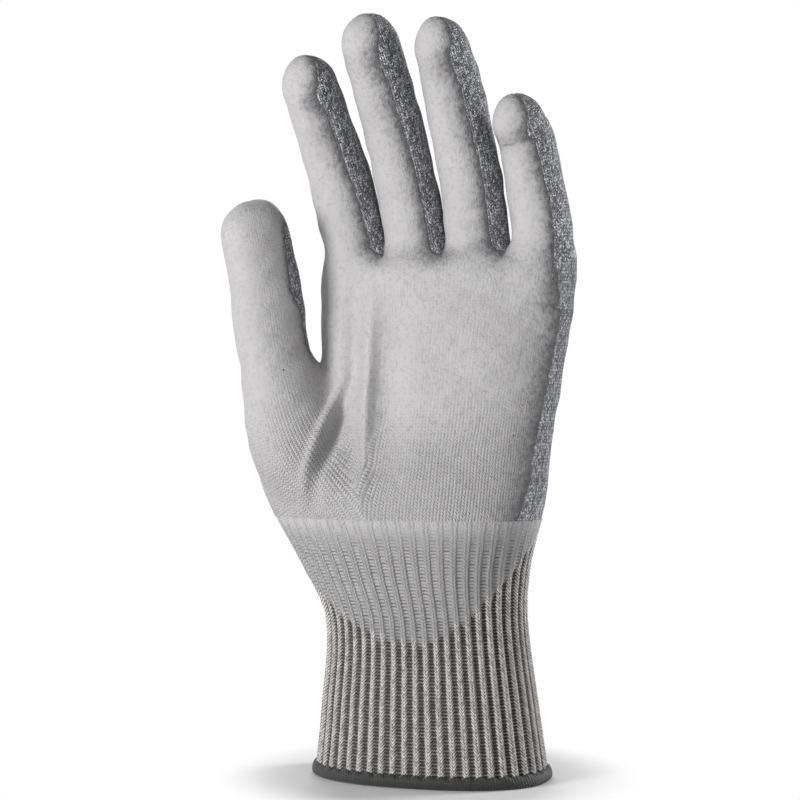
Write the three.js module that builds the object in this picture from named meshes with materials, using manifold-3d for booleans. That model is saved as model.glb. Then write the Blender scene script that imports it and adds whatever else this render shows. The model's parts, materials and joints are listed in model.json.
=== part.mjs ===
// Cut resistant work glove for the left hand, filled out as when it is worn.
// Millimetres. +Z runs from the cuff mouth to the fingertips, the palm faces -Y and the
// thumb is on the -X side. The origin is the centre of the cuff mouth.
//
// A seamless knitted liner carries a thin coating on its palm side. Both bend with the
// wearer's joints, so they are split there, and each hinge line lies on the side towards
// which the glove folds: a stall that closes then opens at its back and nowhere overlaps.
import * as THREE from 'three';
import { mergeVertices } from 'three/addons/utils/BufferGeometryUtils.js';
import Module from 'manifold-3d';

const wasm = await Module();
wasm.setup();

const { lerp } = THREE.MathUtils;
const DEGREE = Math.PI / 180;
const UP = new THREE.Vector3(0, 0, 1);

// ---- fabric ----
const LINER_WALL = 1.3;
const COAT_WALL = 0.5;
const COAT_GAP = 0.3;
const CUT_GAP = 0.4;
const SECTION_POWER = 2.3;

// ---- how the coating ends: a plane in front of the middle, and a share of a stall's depth ----
const COAT_EDGE_Y = -3;
const COAT_EDGE_SHARE = 0.3;

// ---- how solids are cut: blocks wider than the glove, and linings longer than their piece ----
const BLOCK_SIDE = 500;
const OVERRUN = 1;

// ---- cuff, wrist and heel of the hand: stations of one ribbed tube ----
const CUFF_LENGTH = 83;
const HEM_HEIGHT = 4;
const HEM_WALL = 2.6;
const MOUTH = { z: 0, x: 0.5, y: 0, halfWidth: 37.4, halfDepth: 24.5 };
const LOWER_CUFF = { z: 22, x: 0, y: 0, halfWidth: 35.2, halfDepth: 23.4 };
const WAIST = { z: 50, x: -1.2, y: 0, halfWidth: 32.6, halfDepth: 21.5 };
const HEEL = { z: 66, x: -4.4, y: -0.5, halfWidth: 36, halfDepth: 20.8 };
const SEAM = { z: CUFF_LENGTH, x: -7.4, y: -1, halfWidth: 42, halfDepth: 20 };
const EXTEND_BEND_Z = 38;
const FLEX_BEND_Z = 66;
const WRIST_COAT_LOW_Z = 41;
const TUBE_SIDES = 26;
const STATION_SPACING = 12;

// ---- elastic yarn laid into the cuff ----
const YARN_THICKNESS = 0.6;
const YARN_TURNS = 5;
const YARN_STEPS_PER_TURN = 18;

// ---- palm ----
const PALM_LENGTH = 85;
const PALM_WIDTH_AT_SEAM = 69;
const PALM_WIDTH_AT_FINGERS = 80;
const PALM_DEPTH_AT_SEAM = 38;
const PALM_DEPTH_AT_FINGERS = 23;
const PALM_CENTRE_X = 5.6;
const PALM_TOP_ROUNDING = 9;
const PALM_STEPS = 4;
const PALM_TOP_TURNS = [35 * DEGREE, 65 * DEGREE];
const PALM_TOP_POWER = 0.5;

// ---- fingers ----
const STALL_GAP = 2.2;
const STALL_DEPTH_AT_ROOT = 19.4;
const STALL_DEPTH_AT_TIP = 17;
const TIP_WIDTH_RATIO = 0.93;
const TIP_DOME = 8.5;
const TIP_TURNS = [34 * DEGREE, 60 * DEGREE, 80 * DEGREE];
const TIP_POWER = 0.85;
const STALL_SIDES = 12;
const STEPS_PER_BONE = 2;
const ROOT_RISE = 2;
const ROOT_SINK = 16;
const BURIED_SHRINK = 0.6;
const BEND_AXIS_TILT = 7 * DEGREE;
const REST_CURL = [4 * DEGREE, 15 * DEGREE, 24 * DEGREE];
const EXTENSION = [12 * DEGREE, 10 * DEGREE, 8 * DEGREE];
const FINGERS = [
  { name: 'index', lengths: [24, 21, 21.5], lean: 10.5 * DEGREE, rise: 0, width: 18.4 },
  { name: 'middle', lengths: [27, 24, 24], lean: 7.5 * DEGREE, rise: 2.5, width: 18.6 },
  { name: 'ring', lengths: [26, 24, 24], lean: 5 * DEGREE, rise: 2, width: 18.4 },
  { name: 'little', lengths: [18, 16, 18.5], lean: 2.5 * DEGREE, rise: -1, width: 16.8 },
];

// ---- thumb ----
const THUMB_LENGTHS = [24, 27.5];
const THUMB_WIDTH = 22.6;
const THUMB_DEPTH = 21;
const THUMB_CLEAR_OF_PALM = 0.3;
const THUMB_ROOT_X = PALM_CENTRE_X - (PALM_WIDTH_AT_FINGERS + THUMB_WIDTH) / 2 - THUMB_CLEAR_OF_PALM;
const THUMB_ROOT = new THREE.Vector3(THUMB_ROOT_X, -12.5, 134);
const THUMB_BALL = new THREE.Vector3(-37, -7, 106);
const THUMB_BALL_WIDTH = 32;
const THUMB_BALL_DEPTH = 30;
const THUMB_HEEL = new THREE.Vector3(-21.5, -2, 76);
const THUMB_HEEL_WIDTH = 42;
const THUMB_LEAN = 5 * DEGREE;
const THUMB_FORWARD = 9 * DEGREE;
const THUMB_TURN = 40 * DEGREE;
const THUMB_REST_CURL = 5 * DEGREE;
const THUMB_EXTENSION = [10 * DEGREE, 8 * DEGREE];

// ---- materials ----
const LINER_LOOK = { color: 0x7f8086, roughness: 0.95, metalness: 0 };
const COAT_LOOK = { color: 0xbdbbbc, roughness: 0.62, metalness: 0 };
const RIB_LOOK = { color: 0x8a8683, roughness: 0.95, metalness: 0 };
const HEM_LOOK = { color: 0x2f302f, roughness: 0.9, metalness: 0 };
const YARN_LOOK = { color: 0x3a3836, roughness: 0.7, metalness: 0 };

// ---- solids ----

// A point of a rounded section: the signed power of cosine and sine makes it fuller than
// an ellipse. Angle 0 is the +right side and 90 degrees is the back.
function sectionPoint(section, angle, grow) {
  const bulge = (value) => Math.sign(value) * Math.abs(value) ** (2 / SECTION_POWER);
  const across = bulge(Math.cos(angle)) * (section.halfWidth + grow) * (section.shrink ?? 1);
  const deep = bulge(Math.sin(angle)) * (section.halfDepth + grow) * (section.shrink ?? 1);
  return section.centre.clone()
    .addScaledVector(section.right, across)
    .addScaledVector(section.back, deep);
}

// A closed solid through a row of sections, capped flat at its first and last one.
function loft(sections, sides, grow) {
  const positions = [];
  const indices = [];
  for (const section of sections) {
    for (let side = 0; side < sides; side++) {
      const angle = (2 * Math.PI * (side + 0.5)) / sides;
      positions.push(...sectionPoint(section, angle, grow).toArray());
    }
  }
  const first = sections[0];
  const last = sections[sections.length - 1];
  const firstCentre = positions.length / 3;
  positions.push(...first.centre.toArray(), ...last.centre.toArray());
  for (let side = 0; side < sides; side++) {
    const next = (side + 1) % sides;
    for (let ring = 0; ring < sections.length - 1; ring++) {
      const low = ring * sides;
      const high = low + sides;
      indices.push(low + side, low + next, high + next, low + side, high + next, high + side);
    }
    const top = (sections.length - 1) * sides;
    indices.push(firstCentre, next, side, firstCentre + 1, top + side, top + next);
  }
  return solid(new Float32Array(positions), new Uint32Array(indices));
}

function solid(vertProperties, triVerts) {
  return new wasm.Manifold(new wasm.Mesh({ numProp: 3, vertProperties, triVerts }));
}

function solidFromGeometry(geometry) {
  geometry.deleteAttribute('normal');
  geometry.deleteAttribute('uv');
  const { attributes, index } = mergeVertices(geometry);
  return solid(new Float32Array(attributes.position.array), new Uint32Array(index.array));
}

// Everything on the side of a plane that its normal points to, as one large block.
function beyond(point, normal) {
  const block = new THREE.BoxGeometry(BLOCK_SIDE, BLOCK_SIDE, BLOCK_SIDE);
  block.translate(0, 0, BLOCK_SIDE / 2);
  block.applyQuaternion(new THREE.Quaternion().setFromUnitVectors(UP, normal));
  block.translate(point.x, point.y, point.z);
  return solidFromGeometry(block);
}

function meshFrom(name, shape, look, origin) {
  const { vertProperties, triVerts } = shape.getMesh();
  const geometry = new THREE.BufferGeometry();
  geometry.setAttribute('position', new THREE.BufferAttribute(new Float32Array(vertProperties), 3));
  geometry.setIndex(new THREE.BufferAttribute(new Uint32Array(triVerts), 1));
  geometry.translate(-origin.x, -origin.y, -origin.z);
  geometry.computeVertexNormals();
  const mesh = new THREE.Mesh(geometry, new THREE.MeshStandardMaterial(look));
  mesh.name = name;
  return mesh;
}

// A group that turns about a hinge: it stands at the hinge and holds the pieces beyond it.
function hingedGroup(name, hinge, parent, parentOrigin) {
  const group = new THREE.Group();
  group.name = name;
  group.position.copy(hinge).sub(parentOrigin);
  parent.add(group);
  return group;
}

// ---- cuff, wrist and heel ----

const STATIONS = [MOUTH, LOWER_CUFF, WAIST, HEEL, SEAM];

// Smooth values between the stations, as a cubic through them.
function stationAt(z) {
  const cubic = (key) => {
    const upper = Math.max(1, STATIONS.findIndex((station) => station.z >= z));
    const [a, b] = [STATIONS[upper - 1], STATIONS[upper]];
    const before = STATIONS[upper - 2] ?? a;
    const after = STATIONS[upper + 1] ?? b;
    const span = b.z - a.z;
    const slopeA = ((b[key] - before[key]) / (b.z - before.z)) * span;
    const slopeB = ((after[key] - a[key]) / (after.z - a.z)) * span;
    const t = (z - a.z) / span;
    const rise = b[key] - a[key];
    return a[key] + t * slopeA + t * t * (3 * rise - 2 * slopeA - slopeB)
      + t * t * t * (slopeA + slopeB - 2 * rise);
  };
  return {
    centre: new THREE.Vector3(cubic('x'), cubic('y'), z),
    right: new THREE.Vector3(1, 0, 0),
    back: new THREE.Vector3(0, 1, 0),
    halfWidth: cubic('halfWidth'),
    halfDepth: cubic('halfDepth'),
  };
}

function tubeStations(fromZ, toZ, spacing) {
  const count = Math.max(1, Math.round((toZ - fromZ) / spacing));
  return Array.from({ length: count + 1 }, (_, i) => stationAt(fromZ + ((toZ - fromZ) * i) / count));
}

// A length of tube: the outer loft less an inner one that runs past both of its ends.
function tubeWall(fromZ, toZ, grow, wall) {
  const outer = loft(tubeStations(fromZ, toZ, STATION_SPACING), TUBE_SIDES, grow);
  const lining = tubeStations(fromZ, toZ, STATION_SPACING);
  const lowest = { ...lining[0], centre: lining[0].centre.clone().setZ(fromZ - OVERRUN) };
  const end = lining[lining.length - 1];
  const highest = { ...end, centre: end.centre.clone().setZ(toZ + OVERRUN) };
  return outer.subtract(loft([lowest, ...lining, highest], TUBE_SIDES, grow - wall));
}

const root = new THREE.Group();
root.name = 'cut_resistant_glove';
const mouthCentre = new THREE.Vector3(0, 0, 0);

const hemOutside = (HEM_WALL - LINER_WALL) / 2;
root.add(meshFrom('hem_overlock', tubeWall(MOUTH.z, HEM_HEIGHT, hemOutside, HEM_WALL),
  HEM_LOOK, mouthCentre));
root.add(meshFrom('cuff_rib',
  tubeWall(HEM_HEIGHT + CUT_GAP, EXTEND_BEND_Z - CUT_GAP / 2, 0, LINER_WALL),
  RIB_LOOK, mouthCentre));

// The elastic yarn lies against the inside of the rib as one long spiral.
function elasticYarn() {
  const low = HEM_HEIGHT + CUT_GAP + YARN_THICKNESS;
  const high = EXTEND_BEND_Z - CUT_GAP - YARN_THICKNESS;
  const inset = LINER_WALL + COAT_GAP + YARN_THICKNESS / 2;
  const steps = YARN_TURNS * YARN_STEPS_PER_TURN;
  const half = YARN_THICKNESS / 2;
  const positions = [];
  const indices = [];
  for (let step = 0; step <= steps; step++) {
    const z = low + ((high - low) * step) / steps;
    const section = stationAt(z);
    const angle = (2 * Math.PI * step) / YARN_STEPS_PER_TURN;
    const near = sectionPoint(section, angle, half - inset);
    const far = sectionPoint(section, angle, -half - inset);
    for (const [corner, lift] of [[near, -half], [near, half], [far, half], [far, -half]]) {
      positions.push(corner.x, corner.y, corner.z + lift);
    }
  }
  for (let step = 0; step < steps; step++) {
    for (let side = 0; side < 4; side++) {
      const a = step * 4 + side;
      const b = step * 4 + ((side + 1) % 4);
      indices.push(a, b + 4, b, a, a + 4, b + 4);
    }
  }
  const last = steps * 4;
  indices.push(0, 1, 2, 0, 2, 3, last, last + 2, last + 1, last, last + 3, last + 2);
  return solid(new Float32Array(positions), new Uint32Array(indices));
}
root.add(meshFrom('cuff_elastic_yarn', elasticYarn(), YARN_LOOK, mouthCentre));

const waist = stationAt(EXTEND_BEND_Z);
const extendHinge = new THREE.Vector3(0, waist.centre.y + waist.halfDepth, EXTEND_BEND_Z);
const wrist = hingedGroup('wrist', extendHinge, root, mouthCentre);
wrist.add(meshFrom('wrist_rib',
  tubeWall(EXTEND_BEND_Z + CUT_GAP / 2, FLEX_BEND_Z - CUT_GAP / 2, 0, LINER_WALL),
  RIB_LOOK, extendHinge));

// ---- hand ----

// Sections of the palm from the seam to the finger roots, rounded over at the top.
function palmSections(grow) {
  const topZ = CUFF_LENGTH + PALM_LENGTH;
  const seamCentreX = SEAM.x + (SEAM.halfWidth - PALM_WIDTH_AT_SEAM / 2);
  const sections = [];
  const sectionAt = (share, shrink, z) => ({
    centre: new THREE.Vector3(
      lerp(seamCentreX, PALM_CENTRE_X, share), lerp(SEAM.y, 0, share), z),
    right: new THREE.Vector3(1, 0, 0),
    back: new THREE.Vector3(0, 1, 0),
    halfWidth: lerp(PALM_WIDTH_AT_SEAM, PALM_WIDTH_AT_FINGERS, share) / 2,
    halfDepth: (lerp(PALM_DEPTH_AT_SEAM, PALM_DEPTH_AT_FINGERS, share) / 2) * shrink,
  });
  for (let step = 0; step <= PALM_STEPS; step++) {
    const share = step / PALM_STEPS;
    const z = lerp(CUFF_LENGTH - OVERRUN, topZ - PALM_TOP_ROUNDING, share);
    sections.push(sectionAt(share, 1, z));
  }
  for (const turn of PALM_TOP_TURNS) {
    const z = topZ - PALM_TOP_ROUNDING + (PALM_TOP_ROUNDING + grow) * Math.sin(turn);
    sections.push(sectionAt(1, Math.cos(turn) ** PALM_TOP_POWER, z));
  }
  return sections;
}

// A stall as sections: a smooth path through the joints, then a rounded tip.
function stallSections(stall, grow) {
  const curve = new THREE.CatmullRomCurve3(stall.path, false, 'centripetal');
  const spans = stall.path.length - 1;
  const steps = spans * STEPS_PER_BONE;
  const sections = [];
  const sectionAt = (centre, tangent, share, shrink) => {
    const right = stall.axis.clone().addScaledVector(tangent, -stall.axis.dot(tangent)).normalize();
    const back = tangent.clone().cross(right).normalize();
    const wide = stall.widths(share) / 2;
    const deep = stall.depths(share) / 2;
    return { centre, right, back, halfWidth: wide, halfDepth: deep, shrink };
  };
  for (let step = 0; step <= steps; step++) {
    const t = step / steps;
    const shrink = Math.min(1, lerp(stall.buriedShrink, 1, step));
    sections.push(sectionAt(curve.getPoint(t), curve.getTangent(t), t, shrink));
  }
  const end = curve.getPoint(1);
  const heading = curve.getTangent(1);
  const dome = TIP_DOME + grow;
  for (const turn of TIP_TURNS) {
    const centre = end.clone().addScaledVector(heading, dome * Math.sin(turn));
    sections.push(sectionAt(centre, heading, 1, Math.cos(turn) ** TIP_POWER));
  }
  return sections;
}

// The hinge of a stall lies just outside its coated side, level with a joint of its path.
function stallHinge(stall, joint) {
  const curve = new THREE.CatmullRomCurve3(stall.path, false, 'centripetal');
  const share = joint / (stall.path.length - 1);
  const tangent = curve.getTangent(share);
  const normal = tangent.clone().addScaledVector(stall.axis, -tangent.dot(stall.axis)).normalize();
  const front = normal.clone().cross(stall.axis).negate().normalize();
  const reach = stall.depths(share) / 2 + COAT_GAP + COAT_WALL;
  return { point: curve.getPoint(share).addScaledVector(front, reach), normal };
}

const bendAxis = new THREE.Vector3(Math.cos(BEND_AXIS_TILT), 0, Math.sin(BEND_AXIS_TILT));
const fingerPitch = PALM_WIDTH_AT_FINGERS / FINGERS.length;

FINGERS.forEach((finger, place) => {
  const rootX = PALM_CENTRE_X + (place - (FINGERS.length - 1) / 2) * fingerPitch;
  const rootZ = CUFF_LENGTH + PALM_LENGTH + ROOT_RISE + finger.rise;
  const rootPoint = new THREE.Vector3(rootX, 0, rootZ);
  const straight = new THREE.Vector3(-Math.sin(finger.lean), 0, Math.cos(finger.lean));
  const path = [rootPoint.clone().addScaledVector(straight, -ROOT_SINK), rootPoint];
  finger.lengths.forEach((length, segment) => {
    const isTip = segment === finger.lengths.length - 1;
    const heading = straight.clone().applyAxisAngle(bendAxis, REST_CURL[segment]);
    const straightPart = isTip ? length - TIP_DOME : length;
    path.push(path[path.length - 1].clone().addScaledVector(heading, straightPart));
  });
  const widest = Math.min(finger.width, fingerPitch - STALL_GAP);
  finger.path = path;
  finger.axis = bendAxis;
  finger.widths = (share) => lerp(widest, widest * TIP_WIDTH_RATIO, share);
  finger.depths = (share) => lerp(STALL_DEPTH_AT_ROOT, STALL_DEPTH_AT_TIP, share);
  finger.extension = EXTENSION;
  finger.buriedShrink = BURIED_SHRINK;
  finger.bodies = ['proximal', 'middle', 'tip'];
});

const thumbAxis = new THREE.Vector3(Math.cos(THUMB_TURN), Math.sin(THUMB_TURN), 0);
const thumbStraight = new THREE.Vector3(
  -Math.sin(THUMB_LEAN), -Math.sin(THUMB_FORWARD), Math.cos(THUMB_LEAN)).normalize();
const thumbPath = [THUMB_HEEL, THUMB_BALL, THUMB_ROOT.clone()];
THUMB_LENGTHS.forEach((length, segment) => {
  const isTip = segment === THUMB_LENGTHS.length - 1;
  const heading = thumbStraight.clone().applyAxisAngle(thumbAxis, THUMB_REST_CURL * segment);
  const straightPart = isTip ? length - TIP_DOME : length;
  thumbPath.push(thumbPath[thumbPath.length - 1].clone().addScaledVector(heading, straightPart));
});
const thumbTaper = (heel, ball, stall) => (share) => {
  const joint = share * (thumbPath.length - 1);
  if (joint < 1) return lerp(heel, ball, joint);
  return lerp(ball, stall, Math.min(1, joint - 1));
};
const THUMB = {
  name: 'thumb',
  path: thumbPath,
  axis: thumbAxis,
  widths: thumbTaper(THUMB_HEEL_WIDTH, THUMB_BALL_WIDTH, THUMB_WIDTH),
  depths: thumbTaper(PALM_DEPTH_AT_SEAM - LINER_WALL, THUMB_BALL_DEPTH, THUMB_DEPTH),
  extension: THUMB_EXTENSION,
  buriedShrink: 1,
  bodies: ['proximal', 'tip'],
};
const STALLS = [...FINGERS, THUMB];

// Where each stall leaves the hand: fingers at their root, the thumb beyond its ball.
const rootJoint = (stall) => stall.path.length - 1 - stall.bodies.length;

// The hand grown by a given amount: the palm, the ball of the thumb and a short root of
// every finger, each cut off at the hinge plane of its stall.
function handBlock(grow, pastCut) {
  let block = loft(palmSections(grow), TUBE_SIDES, grow);
  for (const stall of STALLS) {
    const { point, normal } = stallHinge(stall, rootJoint(stall));
    const cut = point.clone().addScaledVector(normal, pastCut - CUT_GAP / 2);
    const rootPiece = loft(stallSections(stall, grow), STALL_SIDES, grow);
    block = block.add(rootPiece.intersect(beyond(cut, normal.clone().negate())));
  }
  return block;
}

const heelStation = stationAt(FLEX_BEND_Z);
const coatOutside = COAT_GAP + COAT_WALL;
const flexHinge = new THREE.Vector3(0,
  heelStation.centre.y - heelStation.halfDepth - coatOutside, FLEX_BEND_Z);
const hand = hingedGroup('hand', flexHinge, wrist, extendHinge);

hand.add(meshFrom('heel_rib',
  tubeWall(FLEX_BEND_Z + CUT_GAP / 2, CUFF_LENGTH - CUT_GAP / 2, 0, LINER_WALL),
  RIB_LOOK, flexHinge));

const handFromZ = CUFF_LENGTH + CUT_GAP / 2;
const aboveSeam = beyond(new THREE.Vector3(0, 0, handFromZ), UP);
const handShell = handBlock(0, 0).subtract(handBlock(-LINER_WALL, OVERRUN)).intersect(aboveSeam);
hand.add(meshFrom('hand_liner', handShell, LINER_LOOK, flexHinge));

// The coating covers the palm side up to a plane a little in front of the middle.
const palmSide = beyond(new THREE.Vector3(0, COAT_EDGE_Y, 0), new THREE.Vector3(0, -1, 0));
const palmCoat = handBlock(coatOutside, 0).subtract(handBlock(COAT_GAP, OVERRUN))
  .intersect(aboveSeam).intersect(palmSide);
hand.add(meshFrom('palm_coating', palmCoat, COAT_LOOK, flexHinge));

const heelCoat = tubeWall(
  FLEX_BEND_Z + CUT_GAP / 2, CUFF_LENGTH - CUT_GAP / 2, coatOutside, COAT_WALL).intersect(palmSide);
hand.add(meshFrom('heel_coating', heelCoat, COAT_LOOK, flexHinge));

const wristCoat = tubeWall(WRIST_COAT_LOW_Z, FLEX_BEND_Z - CUT_GAP / 2, coatOutside, COAT_WALL)
  .intersect(palmSide);
wrist.add(meshFrom('wrist_coating', wristCoat, COAT_LOOK, extendHinge));

// ---- stalls ----

// One length of a stall between two hinge planes. Its lower plane is tilted back by the
// joint's extension, which leaves a wedge behind the hinge for the stall to straighten into.
function stallLength(stall, segment, shell) {
  const lower = stallHinge(stall, rootJoint(stall) + segment);
  const tilted = lower.normal.clone().applyAxisAngle(stall.axis, stall.extension[segment]);
  const start = lower.point.clone().addScaledVector(tilted, CUT_GAP / 2);
  let piece = shell.intersect(beyond(start, tilted));
  if (segment < stall.bodies.length - 1) {
    const upper = stallHinge(stall, rootJoint(stall) + segment + 1);
    const end = upper.point.clone().addScaledVector(upper.normal, -CUT_GAP / 2);
    piece = piece.intersect(beyond(end, upper.normal.clone().negate()));
  }
  return piece;
}

for (const stall of STALLS) {
  const grown = (grow) => loft(stallSections(stall, grow), STALL_SIDES, grow);
  const liner = grown(0).subtract(grown(-LINER_WALL));
  const film = grown(coatOutside).subtract(grown(COAT_GAP));
  let parent = hand;
  let parentOrigin = flexHinge;
  stall.bodies.forEach((body, segment) => {
    const hinge = stallHinge(stall, rootJoint(stall) + segment);
    const front = hinge.normal.clone().cross(stall.axis).negate();
    const share = (rootJoint(stall) + segment) / (stall.path.length - 1);
    const coatEdge = hinge.point.clone()
      .addScaledVector(front, -coatOutside - (stall.depths(share) / 2) * (1 - COAT_EDGE_SHARE));
    const group = hingedGroup(`${stall.name}_${body}`, hinge.point, parent, parentOrigin);
    group.add(meshFrom(`${stall.name}_${body}_liner`, stallLength(stall, segment, liner),
      LINER_LOOK, hinge.point));
    group.add(meshFrom(`${stall.name}_${body}_coating`,
      stallLength(stall, segment, film).intersect(beyond(coatEdge, front)), COAT_LOOK, hinge.point));
    parent = group;
    parentOrigin = hinge.point;
  });
}

export default root;
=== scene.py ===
"""A cut resistant glove: a knitted liner with a ribbed cuff, dipped on its palm side in a thin film.

Sizes are in millimetres and turn into metres where a mesh is made. +Z runs from the mouth of
the cuff to the fingertips, the palm faces -Y and the thumb is on the -X side.
"""
import json

import bpy
import numpy as np
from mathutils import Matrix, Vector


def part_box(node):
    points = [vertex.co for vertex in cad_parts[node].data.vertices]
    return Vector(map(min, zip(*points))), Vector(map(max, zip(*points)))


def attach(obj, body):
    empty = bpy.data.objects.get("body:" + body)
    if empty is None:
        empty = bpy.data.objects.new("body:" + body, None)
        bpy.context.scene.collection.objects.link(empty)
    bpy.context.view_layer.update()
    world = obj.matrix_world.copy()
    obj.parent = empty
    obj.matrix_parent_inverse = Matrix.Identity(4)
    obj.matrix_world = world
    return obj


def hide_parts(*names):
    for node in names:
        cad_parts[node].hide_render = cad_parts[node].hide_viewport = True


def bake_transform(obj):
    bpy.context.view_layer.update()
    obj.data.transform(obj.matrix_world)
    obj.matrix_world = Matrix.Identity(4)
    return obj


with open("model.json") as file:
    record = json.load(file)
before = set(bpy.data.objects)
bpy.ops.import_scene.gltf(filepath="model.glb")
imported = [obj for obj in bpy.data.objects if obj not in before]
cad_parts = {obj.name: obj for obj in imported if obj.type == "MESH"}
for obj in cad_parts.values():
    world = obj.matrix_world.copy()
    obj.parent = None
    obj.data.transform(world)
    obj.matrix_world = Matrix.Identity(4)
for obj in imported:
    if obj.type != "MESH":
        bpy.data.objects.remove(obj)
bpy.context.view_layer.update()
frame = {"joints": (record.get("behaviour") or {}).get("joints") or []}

MM = 0.001

# ---------------------------------------------------------------- camera
# The glove stands upright and is seen level with the middle of the palm, turned a little so
# that the little-finger side shows.
VIEW_TURN = np.radians(16.5)
VIEW_DISTANCE = 620
VIEW_ASIDE = -9.7
VIEW_HEIGHT = 120.9
VIEW_WIDTH = 258.5
FILM_WIDTH = 36

camera_data = bpy.data.cameras.new("camera")
camera_data.sensor_width = FILM_WIDTH
camera_data.lens = FILM_WIDTH * VIEW_DISTANCE / VIEW_WIDTH
camera_data.clip_start = 0.01
camera = bpy.data.objects.new("camera", camera_data)
bpy.context.scene.collection.objects.link(camera)
aside = np.array([np.cos(VIEW_TURN), np.sin(VIEW_TURN), 0])
backward = np.array([np.sin(VIEW_TURN), -np.cos(VIEW_TURN), 0])
aim = VIEW_ASIDE * aside + np.array([0, 0, VIEW_HEIGHT])
camera.location = (aim + VIEW_DISTANCE * backward) * MM
camera.rotation_euler = (np.pi / 2, 0, VIEW_TURN)
bpy.context.scene.camera = camera
bpy.context.scene.view_settings.view_transform = "Standard"

# ---------------------------------------------------------------- lamps, world and floor
# A soft lamp stands to the left in front of the palm, and a weak one straight before it. One
# behind on the right draws a light edge and another lifts the far side. The world fills the
# shadows, and the floor runs out to plain white.


def add_lamp(name, place, target, size, watts):
    """A square area lamp at place, turned so that its light falls on target."""
    data = bpy.data.lights.new(name, "AREA")
    data.size = size
    data.energy = watts
    lamp = bpy.data.objects.new(name, data)
    bpy.context.scene.collection.objects.link(lamp)
    lamp.location = place
    way = lamp.location.copy()
    way.x, way.y, way.z = (p - t for p, t in zip(place, target))
    lamp.rotation_euler = way.to_track_quat("Z", "Y").to_euler()


# each lamp: its place, the length of its side and its watts
LAMPS = {
    "key_lamp": ((-0.76, -0.98, 0.3), 0.42, 14.5),
    "front_lamp": ((-0.1, -1.25, 0.2), 0.6, 2.5),
    "edge_lamp": ((0.85, 0.6, 0.3), 0.3, 11.0),
    "back_lamp": ((-0.4, 1.2, 0.6), 0.7, 8.0),
}
LAMP_AIM = (0, 0, 0.12)
for lamp_name, (lamp_place, lamp_size, lamp_watts) in LAMPS.items():
    add_lamp(lamp_name, lamp_place, LAMP_AIM, lamp_size, lamp_watts)


class Signal:
    """An output of a shader node. Arithmetic on it adds Math nodes to the same tree."""

    def __init__(self, recipe, socket):
        self.recipe, self.socket = recipe, socket

    def of(self, operation, *values):
        """The Math operation on this signal and the values."""
        return self.recipe.math(operation, self, *values)

    def __add__(self, other):
        return self.of("ADD", other)

    def __sub__(self, other):
        return self.of("SUBTRACT", other)

    def __rsub__(self, other):
        return self.recipe.math("SUBTRACT", other, self)

    def __mul__(self, other):
        return self.of("MULTIPLY", other)

    __radd__, __rmul__ = __add__, __mul__


class Recipe:
    """Shader nodes of a material or world: each method adds a node and returns its output."""

    def __init__(self, owner):
        owner.use_nodes = True
        self.owner, self.tree = owner, owner.node_tree

    def feed(self, socket, value):
        """Links a signal to the socket, or sets the socket to a plain value."""
        if isinstance(value, Signal):
            self.tree.links.new(value.socket, socket)
        else:
            socket.default_value = value

    def add(self, kind, inputs=(), output=0, **settings):
        """A new node with its settings and inputs. Returns the output asked for."""
        node = self.tree.nodes.new(kind)
        for key, value in settings.items():
            setattr(node, key, value)
        for key, value in dict(inputs).items():
            self.feed(node.inputs[key], value)
        return Signal(self, node.outputs[output])

    def set(self, node_name, **values):
        """Feeds the inputs of a node that is there already, and returns the node. A space in
        an input's name is written as an underscore."""
        node = self.tree.nodes[node_name]
        for key, value in values.items():
            self.feed(node.inputs[key.replace("_", " ")], value)
        return node

    def math(self, operation, *values):
        """A Math node on the values."""
        return self.add("ShaderNodeMath", enumerate(values), operation=operation)

    def step(self, value, low, high):
        """0 below low, 1 above high, and 3t^2 - 2t^3 between them."""
        return self.add("ShaderNodeMapRange", enumerate((value, low, high, 0.0, 1.0)),
                        interpolation_type="SMOOTHSTEP")

    def object_place(self):
        """The place on the piece itself, in metres."""
        return self.add("ShaderNodeTexCoord", output="Object")


def seen_directly(recipe):
    """1 for rays from the camera, from a mirror or through glass, and 0 for all others."""
    camera_ray, glossy_ray, clear_ray = (
        recipe.add("ShaderNodeLightPath", output=f"Is {kind} Ray")
        for kind in ("Camera", "Glossy", "Transmission"))
    return camera_ray.of("MAXIMUM", glossy_ray).of("MAXIMUM", clear_ray)


WORLD_FILL = 0.17
world = bpy.data.worlds.new("world")
bpy.context.scene.world = world
sky = Recipe(world)
strength = sky.add("ShaderNodeMapRange",
                   {"Value": seen_directly(sky), "To Min": WORLD_FILL, "To Max": 1})
sky.set("Background", Color=(1, 1, 1, 1), Strength=strength)

FLOOR_RADIUS = 4.0
FLOOR_SIDES = 96
FLOOR_COLOUR = (0.86, 0.86, 0.86, 1)
FLOOR_ROUGHNESS = 0.9
SHADOW_RADIUS = 0.042
WHITE_RADIUS = 0.07

floor_angles = np.linspace(0, 2 * np.pi, FLOOR_SIDES, endpoint=False)
floor_points = np.stack(
    [np.cos(floor_angles), np.sin(floor_angles), 0 * floor_angles], 1) * FLOOR_RADIUS
floor_mesh = bpy.data.meshes.new("floor")
floor_mesh.from_pydata(floor_points.tolist(), [], [list(range(FLOOR_SIDES))])
floor = bpy.data.objects.new("floor", floor_mesh)
bpy.context.scene.collection.objects.link(floor)
floor_look = Recipe(bpy.data.materials.new("floor_white"))
matt_node = floor_look.set(
    "Principled BSDF", Base_Color=FLOOR_COLOUR, Roughness=FLOOR_ROUGHNESS)
matt = Signal(floor_look, matt_node.outputs[0])
from_middle = floor_look.add(
    "ShaderNodeVectorMath", {0: floor_look.object_place()}, "Value", operation="LENGTH")
whiteness = floor_look.step(from_middle, SHADOW_RADIUS, WHITE_RADIUS) * seen_directly(floor_look)
glow = floor_look.add("ShaderNodeEmission")
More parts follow.
